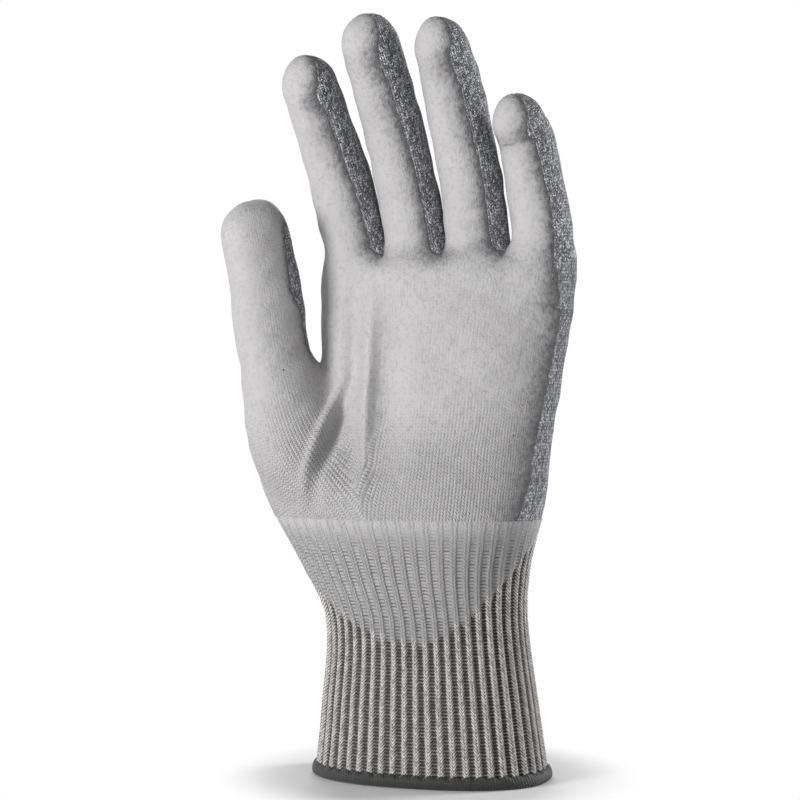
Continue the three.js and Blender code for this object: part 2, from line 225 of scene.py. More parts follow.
floor_mix = floor_look.add("ShaderNodeMixShader", {0: whiteness, 1: matt, 2: glow})
floor_look.set("Material Output", Surface=floor_mix)
floor_mesh.materials.append(floor_look.owner)

# ---------------------------------------------------------------- ribbed cuff, wrist and heel
# The cuff is a 1x1 rib, knitted in one with the liner: raised heather-grey wales of stacked V
# stitches with deep grooves between them, painted near black as their shade. It narrows at the wrist
# and widens to the palm.
LINER_WALL = 1.3
SECTION_POWER = 2.3
SECTION_HALVES = (36, 22)
SECTION_STEPS = 1441
CUFF_LENGTH = 83
HEM_HEIGHT = 4
RIB_START = 3.2
WALES_AROUND = 50
WALE_STEPS = 12
COURSE_PITCH = 1.04
ROWS_PER_COURSE = 2
RIB_SPLIT_Z = 52
WALE_SHARE = 0.56
RIB_RELIEF = 0.85
RIDGE_RANGE = (0.25, 1.45)
ON_WALE_RANGE = (0.7, 1.1)
RIB_END = 2
RIB_SHUT = 3
STITCH_RELIEF = 0.09
CHEVRON_RISE = 0.5
INNER_RELIEF = 0.3
INNER_ROW_STEP = 8
INNER_ROW_GAP = 1
RIB_V_RISE = 0.9
# Yarn colours of the rib. The wales run from a shaded to a light tone, partly by the yarn's own marl
# and partly by painted shade in the dips between the V strands. The grooves' near black is painted
# shade of their depth, lifted to purl grey where a loop crosses.
LIGHT_YARN = (0.72, 0.70, 0.685, 1)
SHADED_YARN = (0.14, 0.135, 0.132, 1)
PURL_YARN = (0.3, 0.29, 0.285, 1)
GROOVE_SHADE_YARN = (0.034, 0.03, 0.029, 1)

# each station: height, centre across, centre in depth, half width, half depth
STATIONS = np.array([
    (0, 0.5, 0, 38.2, 24.8),
    (22, 0, 0, 35.5, 23.5),
    (50, -1.2, 0, 33, 21.5),
    (66, -4.4, -0.5, 37, 20.9),
    (CUFF_LENGTH, -7.4, -1, 44, 20.2),
])


def smooth_step(value, low, high):
    """0 below low, 1 above high, and 3t^2 - 2t^3 between them."""
    t = np.clip((value - low) / (high - low), 0, 1)
    return t * t * (3 - 2 * t)


def tube_size(z):
    """Centre and half sizes of the tube at heights z: a cubic through the stations, straight
    past the last one."""
    heights = STATIONS[:, 0]
    slopes = np.empty((len(STATIONS), 4))
    slopes[1:-1] = (STATIONS[2:, 1:] - STATIONS[:-2, 1:]) / (heights[2:] - heights[:-2])[:, None]
    slopes[0] = (STATIONS[1, 1:] - STATIONS[0, 1:]) / (heights[1] - heights[0])
    slopes[-1] = (STATIONS[-1, 1:] - STATIONS[-2, 1:]) / (heights[-1] - heights[-2])
    low = np.clip(np.searchsorted(heights, z, side="right") - 1, 0, len(heights) - 2)
    span = (heights[low + 1] - heights[low])[..., None]
    t = np.clip((z - heights[low])[..., None] / span, 0, 1)
    start, end = STATIONS[low, 1:], STATIONS[low + 1, 1:]
    cubic = (start * (2 * t ** 3 - 3 * t ** 2 + 1) + end * (3 * t ** 2 - 2 * t ** 3)
             + slopes[low] * span * (t ** 3 - 2 * t ** 2 + t)
             + slopes[low + 1] * span * (t ** 3 - t ** 2))
    past = np.maximum(z - heights[-1], 0)[..., None]
    return np.moveaxis(cubic + past * slopes[-1], -1, 0)


def rounded(angle_part, power):
    """The signed power of a sine or cosine that rounds a section: sign(a) |a|^(2 / power)."""
    return np.sign(angle_part) * np.abs(angle_part) ** (2 / power)


def section_turn(share):
    """The section angle at a share of the way round, measured along the section's edge.
    Share 0 is the middle of the palm side and it grows towards the little finger."""
    angle = np.linspace(0, 2 * np.pi, SECTION_STEPS)
    x = rounded(np.sin(angle), SECTION_POWER) * SECTION_HALVES[0]
    y = rounded(np.cos(angle), SECTION_POWER) * SECTION_HALVES[1]
    run = np.concatenate([[0], np.cumsum(np.hypot(np.diff(x), np.diff(y)))])
    return np.interp(share, run / run[-1], angle)


def tube_point(share, z, grow):
    """A point of the tube: the signed powers of sine and cosine times the half sizes, moved
    out by grow along the section's own normal."""
    centre_x, centre_y, half_width, half_depth = tube_size(z)
    angle = section_turn(share)
    x = rounded(np.sin(angle), SECTION_POWER) * half_width
    y = -rounded(np.cos(angle), SECTION_POWER) * half_depth
    steep = SECTION_POWER - 1
    normal_x = np.sign(x) * (np.abs(x) / half_width) ** steep / half_width
    normal_y = np.sign(y) * (np.abs(y) / half_depth) ** steep / half_depth
    length = np.hypot(normal_x, normal_y)
    return np.stack(
        [centre_x + x + grow * normal_x / length, centre_y + y + grow * normal_y / length, z], -1)


def ring_faces(rows, columns, close_rows=False):
    """Quads of a grid of rings: each ring closes on itself, and so may the rows."""
    row = np.arange(rows if close_rows else rows - 1)[:, None]
    column = np.arange(columns)[None, :]
    after, above = (column + 1) % columns, (row + 1) % rows
    corners = [row * columns + column, row * columns + after,
               above * columns + after, above * columns + column]
    return np.stack(corners, -1).reshape(-1, 4)


def ring_uv(rows, columns, per_column, row_values, close_rows=False):
    """Corner coordinates for ring_faces: columns times per_column, and a value per row."""
    row = np.arange(rows if close_rows else rows - 1)[:, None] + np.zeros((1, columns), int)
    column = np.arange(columns)[None, :] + np.zeros((row.shape[0], 1), int)
    above = (row + 1) % rows
    u = np.stack([column, column + 1, column + 1, column], -1) * per_column
    v = np.stack([row_values[row], row_values[row], row_values[above], row_values[above]], -1)
    return np.stack([u, v], -1).reshape(-1, 4, 2)


def make_piece(name, points, faces, material, uv=None, values=None, normals=None):
    """A smooth mesh object at the origin from points in millimetres and quads, with corner
    coordinates, point values by name and point normals where they are given."""
    mesh = bpy.data.meshes.new(name)
    mesh.vertices.add(len(points))
    mesh.vertices.foreach_set("co", (points * MM).astype(np.float32).ravel())
    mesh.loops.add(faces.size)
    mesh.loops.foreach_set("vertex_index", faces.astype(np.int32).ravel())
    mesh.polygons.add(len(faces))
    mesh.polygons.foreach_set("loop_start", np.arange(0, faces.size, 4, dtype=np.int32))
    mesh.polygons.foreach_set("use_smooth", np.ones(len(faces), bool))
    if uv is not None:
        layer = mesh.uv_layers.new(name="stitches")
        layer.data.foreach_set("uv", uv.astype(np.float32).ravel())
    for key, value in (values or {}).items():
        attribute = mesh.attributes.new(key, "FLOAT", "POINT")
        attribute.data.foreach_set("value", value.astype(np.float32))
    mesh.update(calc_edges=True)
    if normals is not None:
        mesh.normals_split_custom_set_from_vertices(normals.astype(np.float32))
    mesh.materials.append(material)
    piece = bpy.data.objects.new(name, mesh)
    bpy.context.scene.collection.objects.link(piece)
    return piece


class Cloth(Recipe):
    """The recipe of a new material whose Principled shader has the given values."""

    def __init__(self, name, roughness, sheen=0.0, specular=0.5):
        super().__init__(bpy.data.materials.new(name))
        self.set("Principled BSDF", Roughness=roughness, Sheen_Weight=sheen,
                 Specular_IOR_Level=specular)

    def finish(self, colour, height, distance):
        """Sets the colour and the bump of distance millimetres, and returns the material."""
        bump = self.add("ShaderNodeBump", {"Height": height, "Distance": distance * MM})
        self.set("Principled BSDF", Base_Color=colour, Normal=bump)
        return self.owner

    def mix(self, share, low, high):
        """The colour low + (high - low) * share."""
        return self.add("ShaderNodeMix", {0: share, 6: low, 7: high}, 2, data_type="RGBA")

    def split(self, vector, kind="XYZ"):
        """The three parts of a vector or a colour."""
        first = self.add(f"ShaderNodeSeparate{kind}", {0: vector})
        return [Signal(self, output) for output in first.socket.node.outputs]

    def stitch_place(self):
        """The wale and course coordinates of the piece's own UV map."""
        return self.split(self.add("ShaderNodeUVMap", uv_map="stitches"))[:2]

    def value_of(self, attribute):
        """The piece's own point value of that name."""
        return self.add("ShaderNodeAttribute", output="Fac", attribute_name=attribute)

    def vector(self, *values):
        """The three values as one vector."""
        return self.add("ShaderNodeCombineXYZ", enumerate(values))

    def noise(self, place, scale, detail=1.0):
        """Smooth noise between 0 and 1, with about scale bumps to a unit of place."""
        return self.add("ShaderNodeTexNoise",
                        {"Vector": place, "Scale": scale, "Detail": detail}, "Fac")

    def dice(self, *values):
        """A random value that holds over each whole-numbered cell of the values."""
        floors = [self.math("FLOOR", value) for value in values]
        return self.add("ShaderNodeTexWhiteNoise", {"Vector": self.vector(*floors)}, "Value",
                        noise_dimensions="3D")


STRAND_ROUNDING = 0.7
STRAND_HUMP = 3.2


def v_stitches(u, v, wale_share, rise):
    """Stacked V stitches. The side is 0 in the middle of a wale and 1 at its edge, and the
    height is a row of round strands that climb outwards: sin(pi * frac(v - rise * side)).
    Returns side, the strand's own course coordinate, its wave and the height."""
    side = (u.of("FRACT") - 0.5).of("ABSOLUTE") * (2 / wale_share)
    course = v - side * rise
    wave = (course.of("FRACT") * np.pi).of("SINE")
    middle = side - 0.5
    hump = 1.0 - middle * middle * STRAND_HUMP
    height = wave.of("POWER", STRAND_ROUNDING) * hump.of("MAXIMUM", 0.0)
    return side, course, wave, height


RIB_SEED = 3.0
RIB_FIBRES = (7.0, 2.4)
RIB_STROKE_SHADE, RIB_FIBRE_LIGHT, RIB_HALF_STITCH_LIGHT = 0.75, 1.7, 0.3
RIB_LIGHT_RANGE = (1.15, 1.85)
RIB_EDGE_STROKE, RIB_EDGE_FIBRE = 0.34, 1.1
RIB_GROOVE_RANGE = (0.62, 0.98)
LOOP_SEED = 2.0
LOOP_RANGE = (0.0, 0.9)
LOOP_LEAST = 0.35
FIBRE_DETAIL = 2.0


def rib_colours(recipe, u, v):
    """The rib's stitch height, its share of groove and its yarn colour. On a wale the yarn's own
    marl is painted lighter on the crests of the V strokes and darker in the dips between them, as
    painted shade. The ends of the V strokes make the edge of a wale ragged. The groove is painted
    near black as its shade, and a purl loop crosses the groove each course."""
    side, course, stroke, height = v_stitches(u, v, WALE_SHARE, RIB_V_RISE)
    fibre = recipe.noise(recipe.vector(u * RIB_FIBRES[0], course * RIB_FIBRES[1], RIB_SEED),
                         1.0, FIBRE_DETAIL)
    half_stitch = recipe.dice(u * 2.0, course + RIB_SEED, RIB_SEED)
    # The wale's tone: the fibre and half-stitch terms are the yarn's own marl, and the stroke term
    # is painted shade, lighter on the strands' crests and darker between them.
    light = (stroke * RIB_STROKE_SHADE + fibre * RIB_FIBRE_LIGHT
             + half_stitch * RIB_HALF_STITCH_LIGHT)
    wale_colour = recipe.mix(recipe.step(light, *RIB_LIGHT_RANGE), SHADED_YARN, LIGHT_YARN)
    edge = side - stroke * RIB_EDGE_STROKE + (fibre - 0.5) * RIB_EDGE_FIBRE
    # The groove's colour is painted shade: near black, with the purl loops' grey where they cross.
    groove = recipe.step(edge, *RIB_GROOVE_RANGE)
    loop_wave = (v * (2 * np.pi)).of("SINE")
    loop_tone = recipe.dice(u + 0.5, v, LOOP_SEED)
    loop = recipe.step(loop_wave, *LOOP_RANGE) * ((loop_tone + LOOP_LEAST) * fibre)
    groove_colour = recipe.mix(loop, GROOVE_SHADE_YARN, PURL_YARN)
    return height, groove, recipe.mix(groove, wale_colour, groove_colour)


RIB_GROOVE_SUNK = 0.3
RIB_BUMP = 0.35


def rib_knit_material():
    """Light V stitches on the raised wales with painted shade between their strands, and grooves
    painted dark as shade, flecked by the purl loops.
    """
    recipe = Cloth("rib_knit", roughness=0.92, sheen=0.1, specular=0.2)
    height, groove, colour = rib_colours(recipe, *recipe.stitch_place())
    return recipe.finish(colour, height - groove * RIB_GROOVE_SUNK, RIB_BUMP)


def rib_rows(low_z, high_z):
    """Heights of the rows, two to a course, with both ends on the given heights."""
    count = int(round((high_z - low_z) / COURSE_PITCH * ROWS_PER_COURSE))
    return np.linspace(low_z, high_z, count + 1)


def wale_side(share):
    """0 in the middle of each wale, 1 at its edge and more in the groove."""
    return np.abs((share * WALES_AROUND) % 1 - 0.5) * 2 / WALE_SHARE


def below_seam(rows_z):
    """1 below the seam to the hand, and down to 0 on it, as a column."""
    return 1 - smooth_step(rows_z, CUFF_LENGTH - RIB_SHUT, CUFF_LENGTH)[:, None]


def rib_shape(rows_z, share, lift):
    """The rib's outside. Over a wale the relief is a rounded ridge, every other row stands a
    little proud, and the rows of a wale climb outwards as its V stitches do."""
    side = wale_side(share)
    ridge = 1 - smooth_step(side, *RIDGE_RANGE)
    on_wale = 1 - smooth_step(side, *ON_WALE_RANGE)
    first, last = rows_z[0], rows_z[-1]
    ends = (smooth_step(rows_z, first, first + RIB_END)
            * (1 - smooth_step(rows_z, last - RIB_END, last)))
    climb = CHEVRON_RISE * (np.minimum(side, 1) - 0.5)
    z = rows_z[:, None] + ends[:, None] * climb[None, :]
    course = np.where(np.arange(len(rows_z)) % 2, 1.0, -1.0) * ends
    grow = ((ridge - 1) * RIB_RELIEF * below_seam(rows_z)
            + course[:, None] * on_wale[None, :] * STITCH_RELIEF + lift)
    return tube_point(np.broadcast_to(share, z.shape), z, grow)


def rib_piece(name, low_z, high_z, material):
    """A closed length of rib: the outside rows upwards, then a plainer inside downwards."""
    columns = WALES_AROUND * WALE_STEPS
    share = np.arange(columns) / columns
    outer_z = rib_rows(low_z, high_z)
    outer = rib_shape(outer_z, share, 0)
    inner_z = outer_z[::-1][::INNER_ROW_STEP]
    inner_z = np.append(inner_z[inner_z > low_z + INNER_ROW_GAP], low_z)
    groove = np.cos(share * WALES_AROUND * 2 * np.pi)
    inner_grow = np.broadcast_to(-LINER_WALL - RIB_RELIEF + INNER_RELIEF * groove,
                                 (len(inner_z), columns))
    height = np.broadcast_to(inner_z[:, None], inner_grow.shape)
    inner = tube_point(np.broadcast_to(share, height.shape), height, inner_grow)
    grid = np.concatenate([outer, inner])
    row_values = np.concatenate([outer_z, inner_z]) / COURSE_PITCH
    faces = ring_faces(len(grid), columns, close_rows=True)
    uv = ring_uv(len(grid), columns, 1 / WALE_STEPS, row_values, close_rows=True)
    return make_piece(name, grid.reshape(-1, 3), faces, material, uv)


rib_knit = rib_knit_material()
extend_hinge, flex_hinge = (np.array(j["pos_m"]) for j in frame["joints"][:2])
BEND_REACH = 0.014
UPWARD = np.array([0, 0, 1])


def bend_across(piece, parent, child, hinge, heading, before, after):
    """Bakes the piece's placement into its mesh. The piece is not bent: parent and child
    are not used, and the stretch along heading about the hinge has no effect.
    """
    tuple(hinge + heading * before)
    tuple(hinge + heading * after)
    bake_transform(piece)


lower_rib = rib_piece("lower_rib", RIB_START, RIB_SPLIT_Z, rib_knit)
bend_across(lower_rib, "cuff", "wrist", extend_hinge, UPWARD, -BEND_REACH, BEND_REACH)
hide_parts("cuff_rib", "wrist_rib")

upper_rib = rib_piece("upper_rib", RIB_SPLIT_Z, CUFF_LENGTH, rib_knit)
bend_across(upper_rib, "wrist", "hand", flex_hinge, UPWARD, -BEND_REACH, BEND_REACH)
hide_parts("heel_rib")

# ---------------------------------------------------------------- overlocked hem
# The mouth is bound by black overlock thread, wrapped round the raw edge of the rib in close
# slanting turns, so the roll is finely ridged and its upper edge is uneven.
HEM_WRAPS = 210
WRAP_STEPS = 8
HEM_PROFILE_STEPS = 30
HEM_RELIEF = 0.16
HEM_SLANT = 1.1
HEM_UV_SLANT = 4
HEM_THICKNESS = 3.3
HEM_PROUD = 0.2
HEM_SECTION_POWER = 2.5
HEM_WALE_WAVE = 0.35
HEM_LOOSE_WAVE = 0.3
HEM_LOOSE_COUNTS = (37, 11)
HEM_COLOUR = (0.010, 0.011, 0.010, 1)
HEM_SHEEN_COLOUR = (0.045, 0.047, 0.045, 1)
HEM_FIBRES = 6.0
HEM_FIBRE_SCALE = 3.0
HEM_STRAND_TONE = 0.25
HEM_TONE_RANGE = (0.35, 1.0)
HEM_STRAND_HEIGHT = 0.3
HEM_BUMP = 0.12


def hem_material():
    """Black thread: strands along the wraps, sin(2 pi (u + v)), broken up by fine fibres. The
    lighter colour is a painted sheen on the strands' crests, mixed with the fibres' own
    random tone.
    """
    recipe = Cloth("overlock_thread", roughness=0.6, sheen=0.2, specular=0.35)
    u, v = recipe.stitch_place()
    strand = ((u + v) * (2 * np.pi)).of("SINE")
    fibre = recipe.noise(recipe.vector(u * HEM_FIBRES, v, 1.0), HEM_FIBRE_SCALE, 3.0)
    tone = recipe.step(strand * HEM_STRAND_TONE + fibre, *HEM_TONE_RANGE)
    return recipe.finish(recipe.mix(tone, HEM_COLOUR, HEM_SHEEN_COLOUR),
                         strand * HEM_STRAND_HEIGHT + fibre, HEM_BUMP)


def hem_shape():
    """A rounded roll around the edge: a superellipse profile carried round the mouth, its
    surface waved by the slanting wraps and its top raised and lowered from wale to wale."""
    columns = HEM_WRAPS * WRAP_STEPS
    share = np.arange(columns) / columns
    turn = np.arange(HEM_PROFILE_STEPS) / HEM_PROFILE_STEPS * 2 * np.pi
    out = rounded(np.cos(turn), HEM_SECTION_POWER) * HEM_THICKNESS / 2
    up = rounded(np.sin(turn), HEM_SECTION_POWER) * HEM_HEIGHT / 2
    phase = 2 * np.pi * (HEM_WRAPS * share[None, :] + HEM_SLANT * up[:, None] / HEM_HEIGHT)
    relief = HEM_RELIEF * (0.5 + 0.5 * np.cos(phase)) - HEM_RELIEF
    wale_edge = np.cos(2 * np.pi * WALES_AROUND * (share - 0.5 / WALES_AROUND))
    loose = [np.sin(2 * np.pi * count * share) for count in HEM_LOOSE_COUNTS]
    uneven = HEM_WALE_WAVE * wale_edge + HEM_LOOSE_WAVE * loose[0] * loose[1]
    top = smooth_step(up, 0, HEM_HEIGHT / 2)[:, None] * uneven[None, :]
    z = HEM_HEIGHT / 2 + up[:, None] * (1 + relief / HEM_HEIGHT) + top
    grow = out[:, None] * (1 + 2 * relief / HEM_THICKNESS) - LINER_WALL / 2 + HEM_PROUD
    return tube_point(np.broadcast_to(share, z.shape), np.maximum(z, 0), grow)


hem_columns = HEM_WRAPS * WRAP_STEPS
hem_turn = np.arange(HEM_PROFILE_STEPS) / HEM_PROFILE_STEPS * HEM_UV_SLANT
hem = make_piece(
    "hem_roll", hem_shape().reshape(-1, 3),
    ring_faces(HEM_PROFILE_STEPS, hem_columns, close_rows=True), hem_material(),
    ring_uv(HEM_PROFILE_STEPS, hem_columns, 1 / WRAP_STEPS, hem_turn, close_rows=True))
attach(hem, "cuff")
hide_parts("hem_overlock")

# ---------------------------------------------------------------- elastic yarn
# A covered rubber yarn is laid in with every few courses of the cuff and spirals up its
# inside, which is what pulls the rib in to the wrist.
YARN_THICKNESS = 0.7
YARN_TURNS = 5
YARN_STEPS = 160
YARN_SIDES = 10
YARN_LOW_Z = 6
YARN_HIGH_Z = 36
YARN_INSET = LINER_WALL + RIB_RELIEF + 0.75
YARN_WRAPS = 600
YARN_END = 0.02
YARN_WRAP_SLANT = 3.0
YARN_WRAP_COUNT = 9.0
YARN_TONE_RANGE = (-0.5, 0.8)
YARN_DARK = (0.03, 0.028, 0.026, 1)
YARN_LIGHT = (0.1, 0.095, 0.09, 1)
YARN_BUMP = 0.08


def yarn_material():
    """Dark covered rubber, its covering wound on in slanting turns, their crests painted lighter
    and the dips between them darker as painted shade.
    """
    recipe = Cloth("elastic_yarn", roughness=0.55, specular=0.4)
    u, v = recipe.stitch_place()
    wrap = ((u + v * YARN_WRAP_SLANT) * YARN_WRAP_COUNT).of("SINE")
    tone = recipe.step(wrap, *YARN_TONE_RANGE)
    return recipe.finish(recipe.mix(tone, YARN_DARK, YARN_LIGHT), wrap, YARN_BUMP)


def yarn_shape():
    """A round tube on a spiral: the tube point of each step, with a ring in the plane of the
    wall's normal and the height. Its last rings shrink to close the two ends."""
    steps = YARN_TURNS * YARN_STEPS
    along = np.linspace(0, 1, steps + 1)
    z = YARN_LOW_Z + (YARN_HIGH_Z - YARN_LOW_Z) * along
    share = (along * YARN_TURNS) % 1
    inner = tube_point(share, z, np.full_like(z, -YARN_INSET))
    outer = tube_point(share, z, np.full_like(z, 1 - YARN_INSET))
    outward = outer - inner
    turn = np.arange(YARN_SIDES) / YARN_SIDES * 2 * np.pi
    closed = np.ones(steps + 1)
    closed[[0, -1]] = YARN_END
    radius = (YARN_THICKNESS / 2 * closed)[:, None, None]
    ring = (np.cos(turn)[None, :, None] * outward[:, None, :]
            + np.sin(turn)[None, :, None] * UPWARD[None, None, :])
    return inner[:, None, :] + radius * ring, along


yarn_points, yarn_along = yarn_shape()
yarn_faces = ring_faces(len(yarn_points), YARN_SIDES)
first_cap = np.arange(YARN_SIDES)[::-1]
last_cap = np.arange(YARN_SIDES) + (len(yarn_points) - 1) * YARN_SIDES
cap_fan = []
for cap in (first_cap, last_cap):
    cap_fan += [[cap[0], cap[i], cap[i + 1], cap[i + 2]] for i in range(1, YARN_SIDES - 2, 2)]
yarn_uv = np.concatenate([
    ring_uv(len(yarn_points), YARN_SIDES, 1 / YARN_SIDES, yarn_along * YARN_WRAPS),
    np.zeros((len(cap_fan), 4, 2))])
yarn = make_piece("elastic_yarn", yarn_points.reshape(-1, 3),
                  np.concatenate([yarn_faces, np.array(cap_fan)]), yarn_material(), yarn_uv)
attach(yarn, "cuff")
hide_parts("cuff_elastic_yarn")

# ---------------------------------------------------------------- knitted hand
# The hand is one seamless plain knit of marled grey yarn with glass and steel in its core.
# Palm, thumb and four fingers grow out of each other, so the surface is one rounded union of
# them, drawn on a lattice and then split where the joints need separate pieces.
PALM_LENGTH = 85
PALM_TOP_Z = CUFF_LENGTH + PALM_LENGTH
PALM_ROUNDING = 9
PALM_CENTRE_X = (0.4, 5.8)
PALM_HALF_WIDTH = (36.4, 42.2)
PALM_HALF_DEPTH = (19, 12.4)
PALM_POWER = 2.05
PALM_FROM_Z = CUFF_LENGTH + 20
FINGER_NAMES = ("index", "middle", "ring", "little")
FINGER_BODIES = ("proximal", "middle", "tip")
FINGER_WIDTHS = {"index": 20.6, "middle": 20.4, "ring": 20.2, "little": 19.0}
FINGER_DEPTHS = (20, 17.4)
FINGER_TIP_DROP = {"index": 1.5, "middle": 0.5, "ring": 1.5, "little": 2.2}
FINGER_SWAY = {
    "index": (0, 0, -1.4, -2.4, -2.8), "middle": (0, 0, -1.4, -2.8, -3.3),
    "ring": (0.4, 0.4, -0.4, -1.8, -2.8), "little": (-3.0, 1.4, 0.8, -0.8, -2.4)}
TIP_WIDTH_RATIO = 0.87
TIP_DOME = 11
TIP_FORWARD = np.array([0, -3.5, 0])
ROOT_SINK = 16
HINGE_PROUD = 0.8
FINGER_POWER = 2.15
THUMB_POWER = 2.1
THUMB_HEEL = (-21.5, -2, 76)
THUMB_BALL = (-39, -7, 106)
THUMB_SIZES = ((42, 36.7), (32.5, 30), (23, 21.5), (22.4, 20), (21.6, 18.5))
THUMB_SWAY = (-1, -2.4, -2.4, -2.6, -3.4)
THUMB_JOIN = 7
FINGER_JOIN = 5
ROOT_CUT = 1.5
WALES_ROUND_HAND = 112
WALES_ROUND_FINGER = 36
THUMB_WALES = WALES_ROUND_FINGER * 1.2
DOME_COURSES = 0.3
KNIT_COURSE = 1.02
LATTICE = 0.75
LATTICE_ORIGIN = np.array([0, 0, CUFF_LENGTH - LATTICE / 2])
GRADIENT_STEP = 0.08
SETTLE_ROUNDS = 3
LEAST_SLOPE = 0.2
FAR_AWAY = 1e3
LEAST_SHARE = 1e-6
CURVE_STEPS = 40
PLACE_ROUNDS = 4
PINCH_ROUNDS = 4
SKIN_WALL = 1.2


def unit(vector):
    """The vectors divided by their lengths."""
    return vector / np.linalg.norm(vector, axis=-1, keepdims=True)


def smooth_union(a, b, reach):
    """The lower of two distances, rounded off where they differ by less than reach."""
    near = np.maximum(reach - np.abs(a - b), 0)
    return np.minimum(a, b) - near * near / (4 * reach)


def section_distance(x, y, half_width, half_depth, power):
    """Distance to a rounded section to first order: (r - 1) / |grad r|, where r is the p-norm
    of x and y over the half sizes."""
    across = np.maximum(np.abs(x) / half_width, LEAST_SHARE)
    deep = np.maximum(np.abs(y) / half_depth, LEAST_SHARE)
    r = (across ** power + deep ** power) ** (1 / power)
    slope = np.hypot((across / r) ** (power - 1) / half_width,
                     (deep / r) ** (power - 1) / half_depth)
    return (r - 1) / slope


class Stall:
    """A finger or the thumb: a smooth centre line with an oval section and a domed end.
    The joints hold the arc lengths of its hinges, and the path ends where the dome starts."""

    def __init__(self, name, path, sizes, axis, bodies, power):
        self.name, self.bodies, self.power = name, bodies, power
        path = np.array(path, float)
        ghost = np.concatenate([[2 * path[0] - path[1]], path, [2 * path[-1] - path[-2]]])
        t = np.linspace(0, len(path) - 1, CURVE_STEPS * (len(path) - 1) + 1)
        low = np.minimum(t.astype(int), len(path) - 2)
        f = (t - low)[:, None]
        a, b, c, d = (ghost[low + i] for i in range(4))
        line = 0.5 * (2 * b + (c - a) * f + (2 * a - 5 * b + 4 * c - d) * f ** 2
                      + (3 * b - a - 3 * c + d) * f ** 3)
        self.run = np.concatenate([[0], np.cumsum(np.linalg.norm(np.diff(line, axis=0), axis=1))])
        self.line = line
        self.heading = unit(np.gradient(line, self.run, axis=0))
        self.joints = self.run[np.searchsorted(t, np.arange(len(path)))][-1 - len(bodies):-1]
        self.axis = axis
        self.halves = np.stack([np.interp(t, np.arange(len(path)), size) / 2 for size in
                                np.array(sizes, float).T], 1)

    def at(self, table, s):
        """The rows of a table along the path, read off at arc length s."""
        return np.stack([np.interp(s, self.run, column) for column in table.T], -1)

    def place(self, points):
        """Arc length, sideways and backward offsets and half sizes at the points: the arc
        length is found by stepping until the offset is square to the centre line."""
        s = (points - self.line[0]) @ unit(self.line[-1] - self.line[0])
        for _ in range(PLACE_ROUNDS):
            inside = np.clip(s, 0, self.run[-1])
            offset = points - self.at(self.line, inside)
            s = inside + (offset * self.at(self.heading, inside)).sum(-1)
        inside = np.clip(s, 0, self.run[-1])
        heading = self.at(self.heading, inside)
        right = unit(self.axis - heading * (heading @ self.axis)[..., None])
        back = np.cross(heading, right)
        offset = points - self.at(self.line, inside)
        halves = self.at(self.halves, inside)
        return (s, (offset * right).sum(-1), (offset * back).sum(-1), halves)

    def distance(self, points):
        """First-order distance, with the length past the path's end as a third axis."""
        s, x, y, halves = self.place(points)
        flat = section_distance(x, y, halves[..., 0], halves[..., 1], self.power)
        past = np.maximum(s - self.run[-1], 0)
        mean = halves.mean(-1)
        beyond = np.hypot(np.maximum(flat + mean, 0), past * mean / TIP_DOME) - mean
        sunk = np.maximum(-s, 0)
        return np.where(past > 0, beyond, flat) + sunk

    def hinge(self, joint):
        """The centre line's point and heading at a hinge."""
        s = self.joints[joint]
        return self.at(self.line, s), self.at(self.heading, s)


hinges = {joint["child"]: np.array(joint["pos_m"]) / MM for joint in frame["joints"]}
axes = {joint["child"]: np.array(joint["axis"], float) for joint in frame["joints"]}


def top_of(node):
    """Height of the top of a CAD node."""
    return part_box(node)[1].z / MM


def stall_joints(name, bodies, depths, sign):
    """Centre-line points at the hinges: each hinge lies on the palm side, half the depth of
    the stall away along the normal of its axis and the way to the next hinge."""
    points = [hinges[f"{name}_{body}"] for body in bodies]
    axis = axes[f"{name}_{bodies[0]}"] * sign
    ways = [unit(b - a) for a, b in zip(points, points[1:])]
    ways.append(ways[-1])
    middle = []
    for i, point in enumerate(points):
        back = unit(np.cross(ways[max(i - 1, 0)] + ways[i], axis))
        middle.append(point + back * (depths[i] / 2 + HINGE_PROUD))
    return middle, axis


def finger_stall(name):
    """A finger from a root sunk in the palm, through its three hinges, to its dome."""
    depths = np.linspace(FINGER_DEPTHS[0], FINGER_DEPTHS[1], 4)
    middle, axis = stall_joints(name, FINGER_BODIES, depths, 1)
    way = unit(middle[1] - middle[0])
    last = unit(middle[2] - middle[1] + TIP_FORWARD)
    top = top_of(f"{name}_tip_liner") - FINGER_TIP_DROP[name]
    reach = (top - middle[2][2] - TIP_DOME) / last[2]
    path = np.array([middle[0] - way * ROOT_SINK, *middle, middle[2] + last * reach])
    path[:, 0] += FINGER_SWAY[name]
    width = FINGER_WIDTHS[name]
    widths = np.linspace(width, width * TIP_WIDTH_RATIO, 4)
    sizes = [(widths[0], depths[0]), *zip(widths, depths)]
    return Stall(name, path, sizes, axis, FINGER_BODIES, FINGER_POWER)


def thumb_stall():
    """The thumb from the heel of the hand, over its ball and its two hinges, to its dome."""
    depths = [size[1] for size in THUMB_SIZES[2:]]
    middle, axis = stall_joints("thumb", ("proximal", "tip"), depths, -1)
    way = unit(middle[1] - middle[0])
    reach = (top_of("thumb_tip_liner") - middle[1][2] - TIP_DOME) / way[2]
    path = np.array([THUMB_HEEL, THUMB_BALL, *middle, middle[1] + way * reach])
    path[:, 0] += THUMB_SWAY
    return Stall("thumb", path, THUMB_SIZES, axis, ("proximal", "tip"), THUMB_POWER)


fingers = [finger_stall(name) for name in FINGER_NAMES]
thumb = thumb_stall()

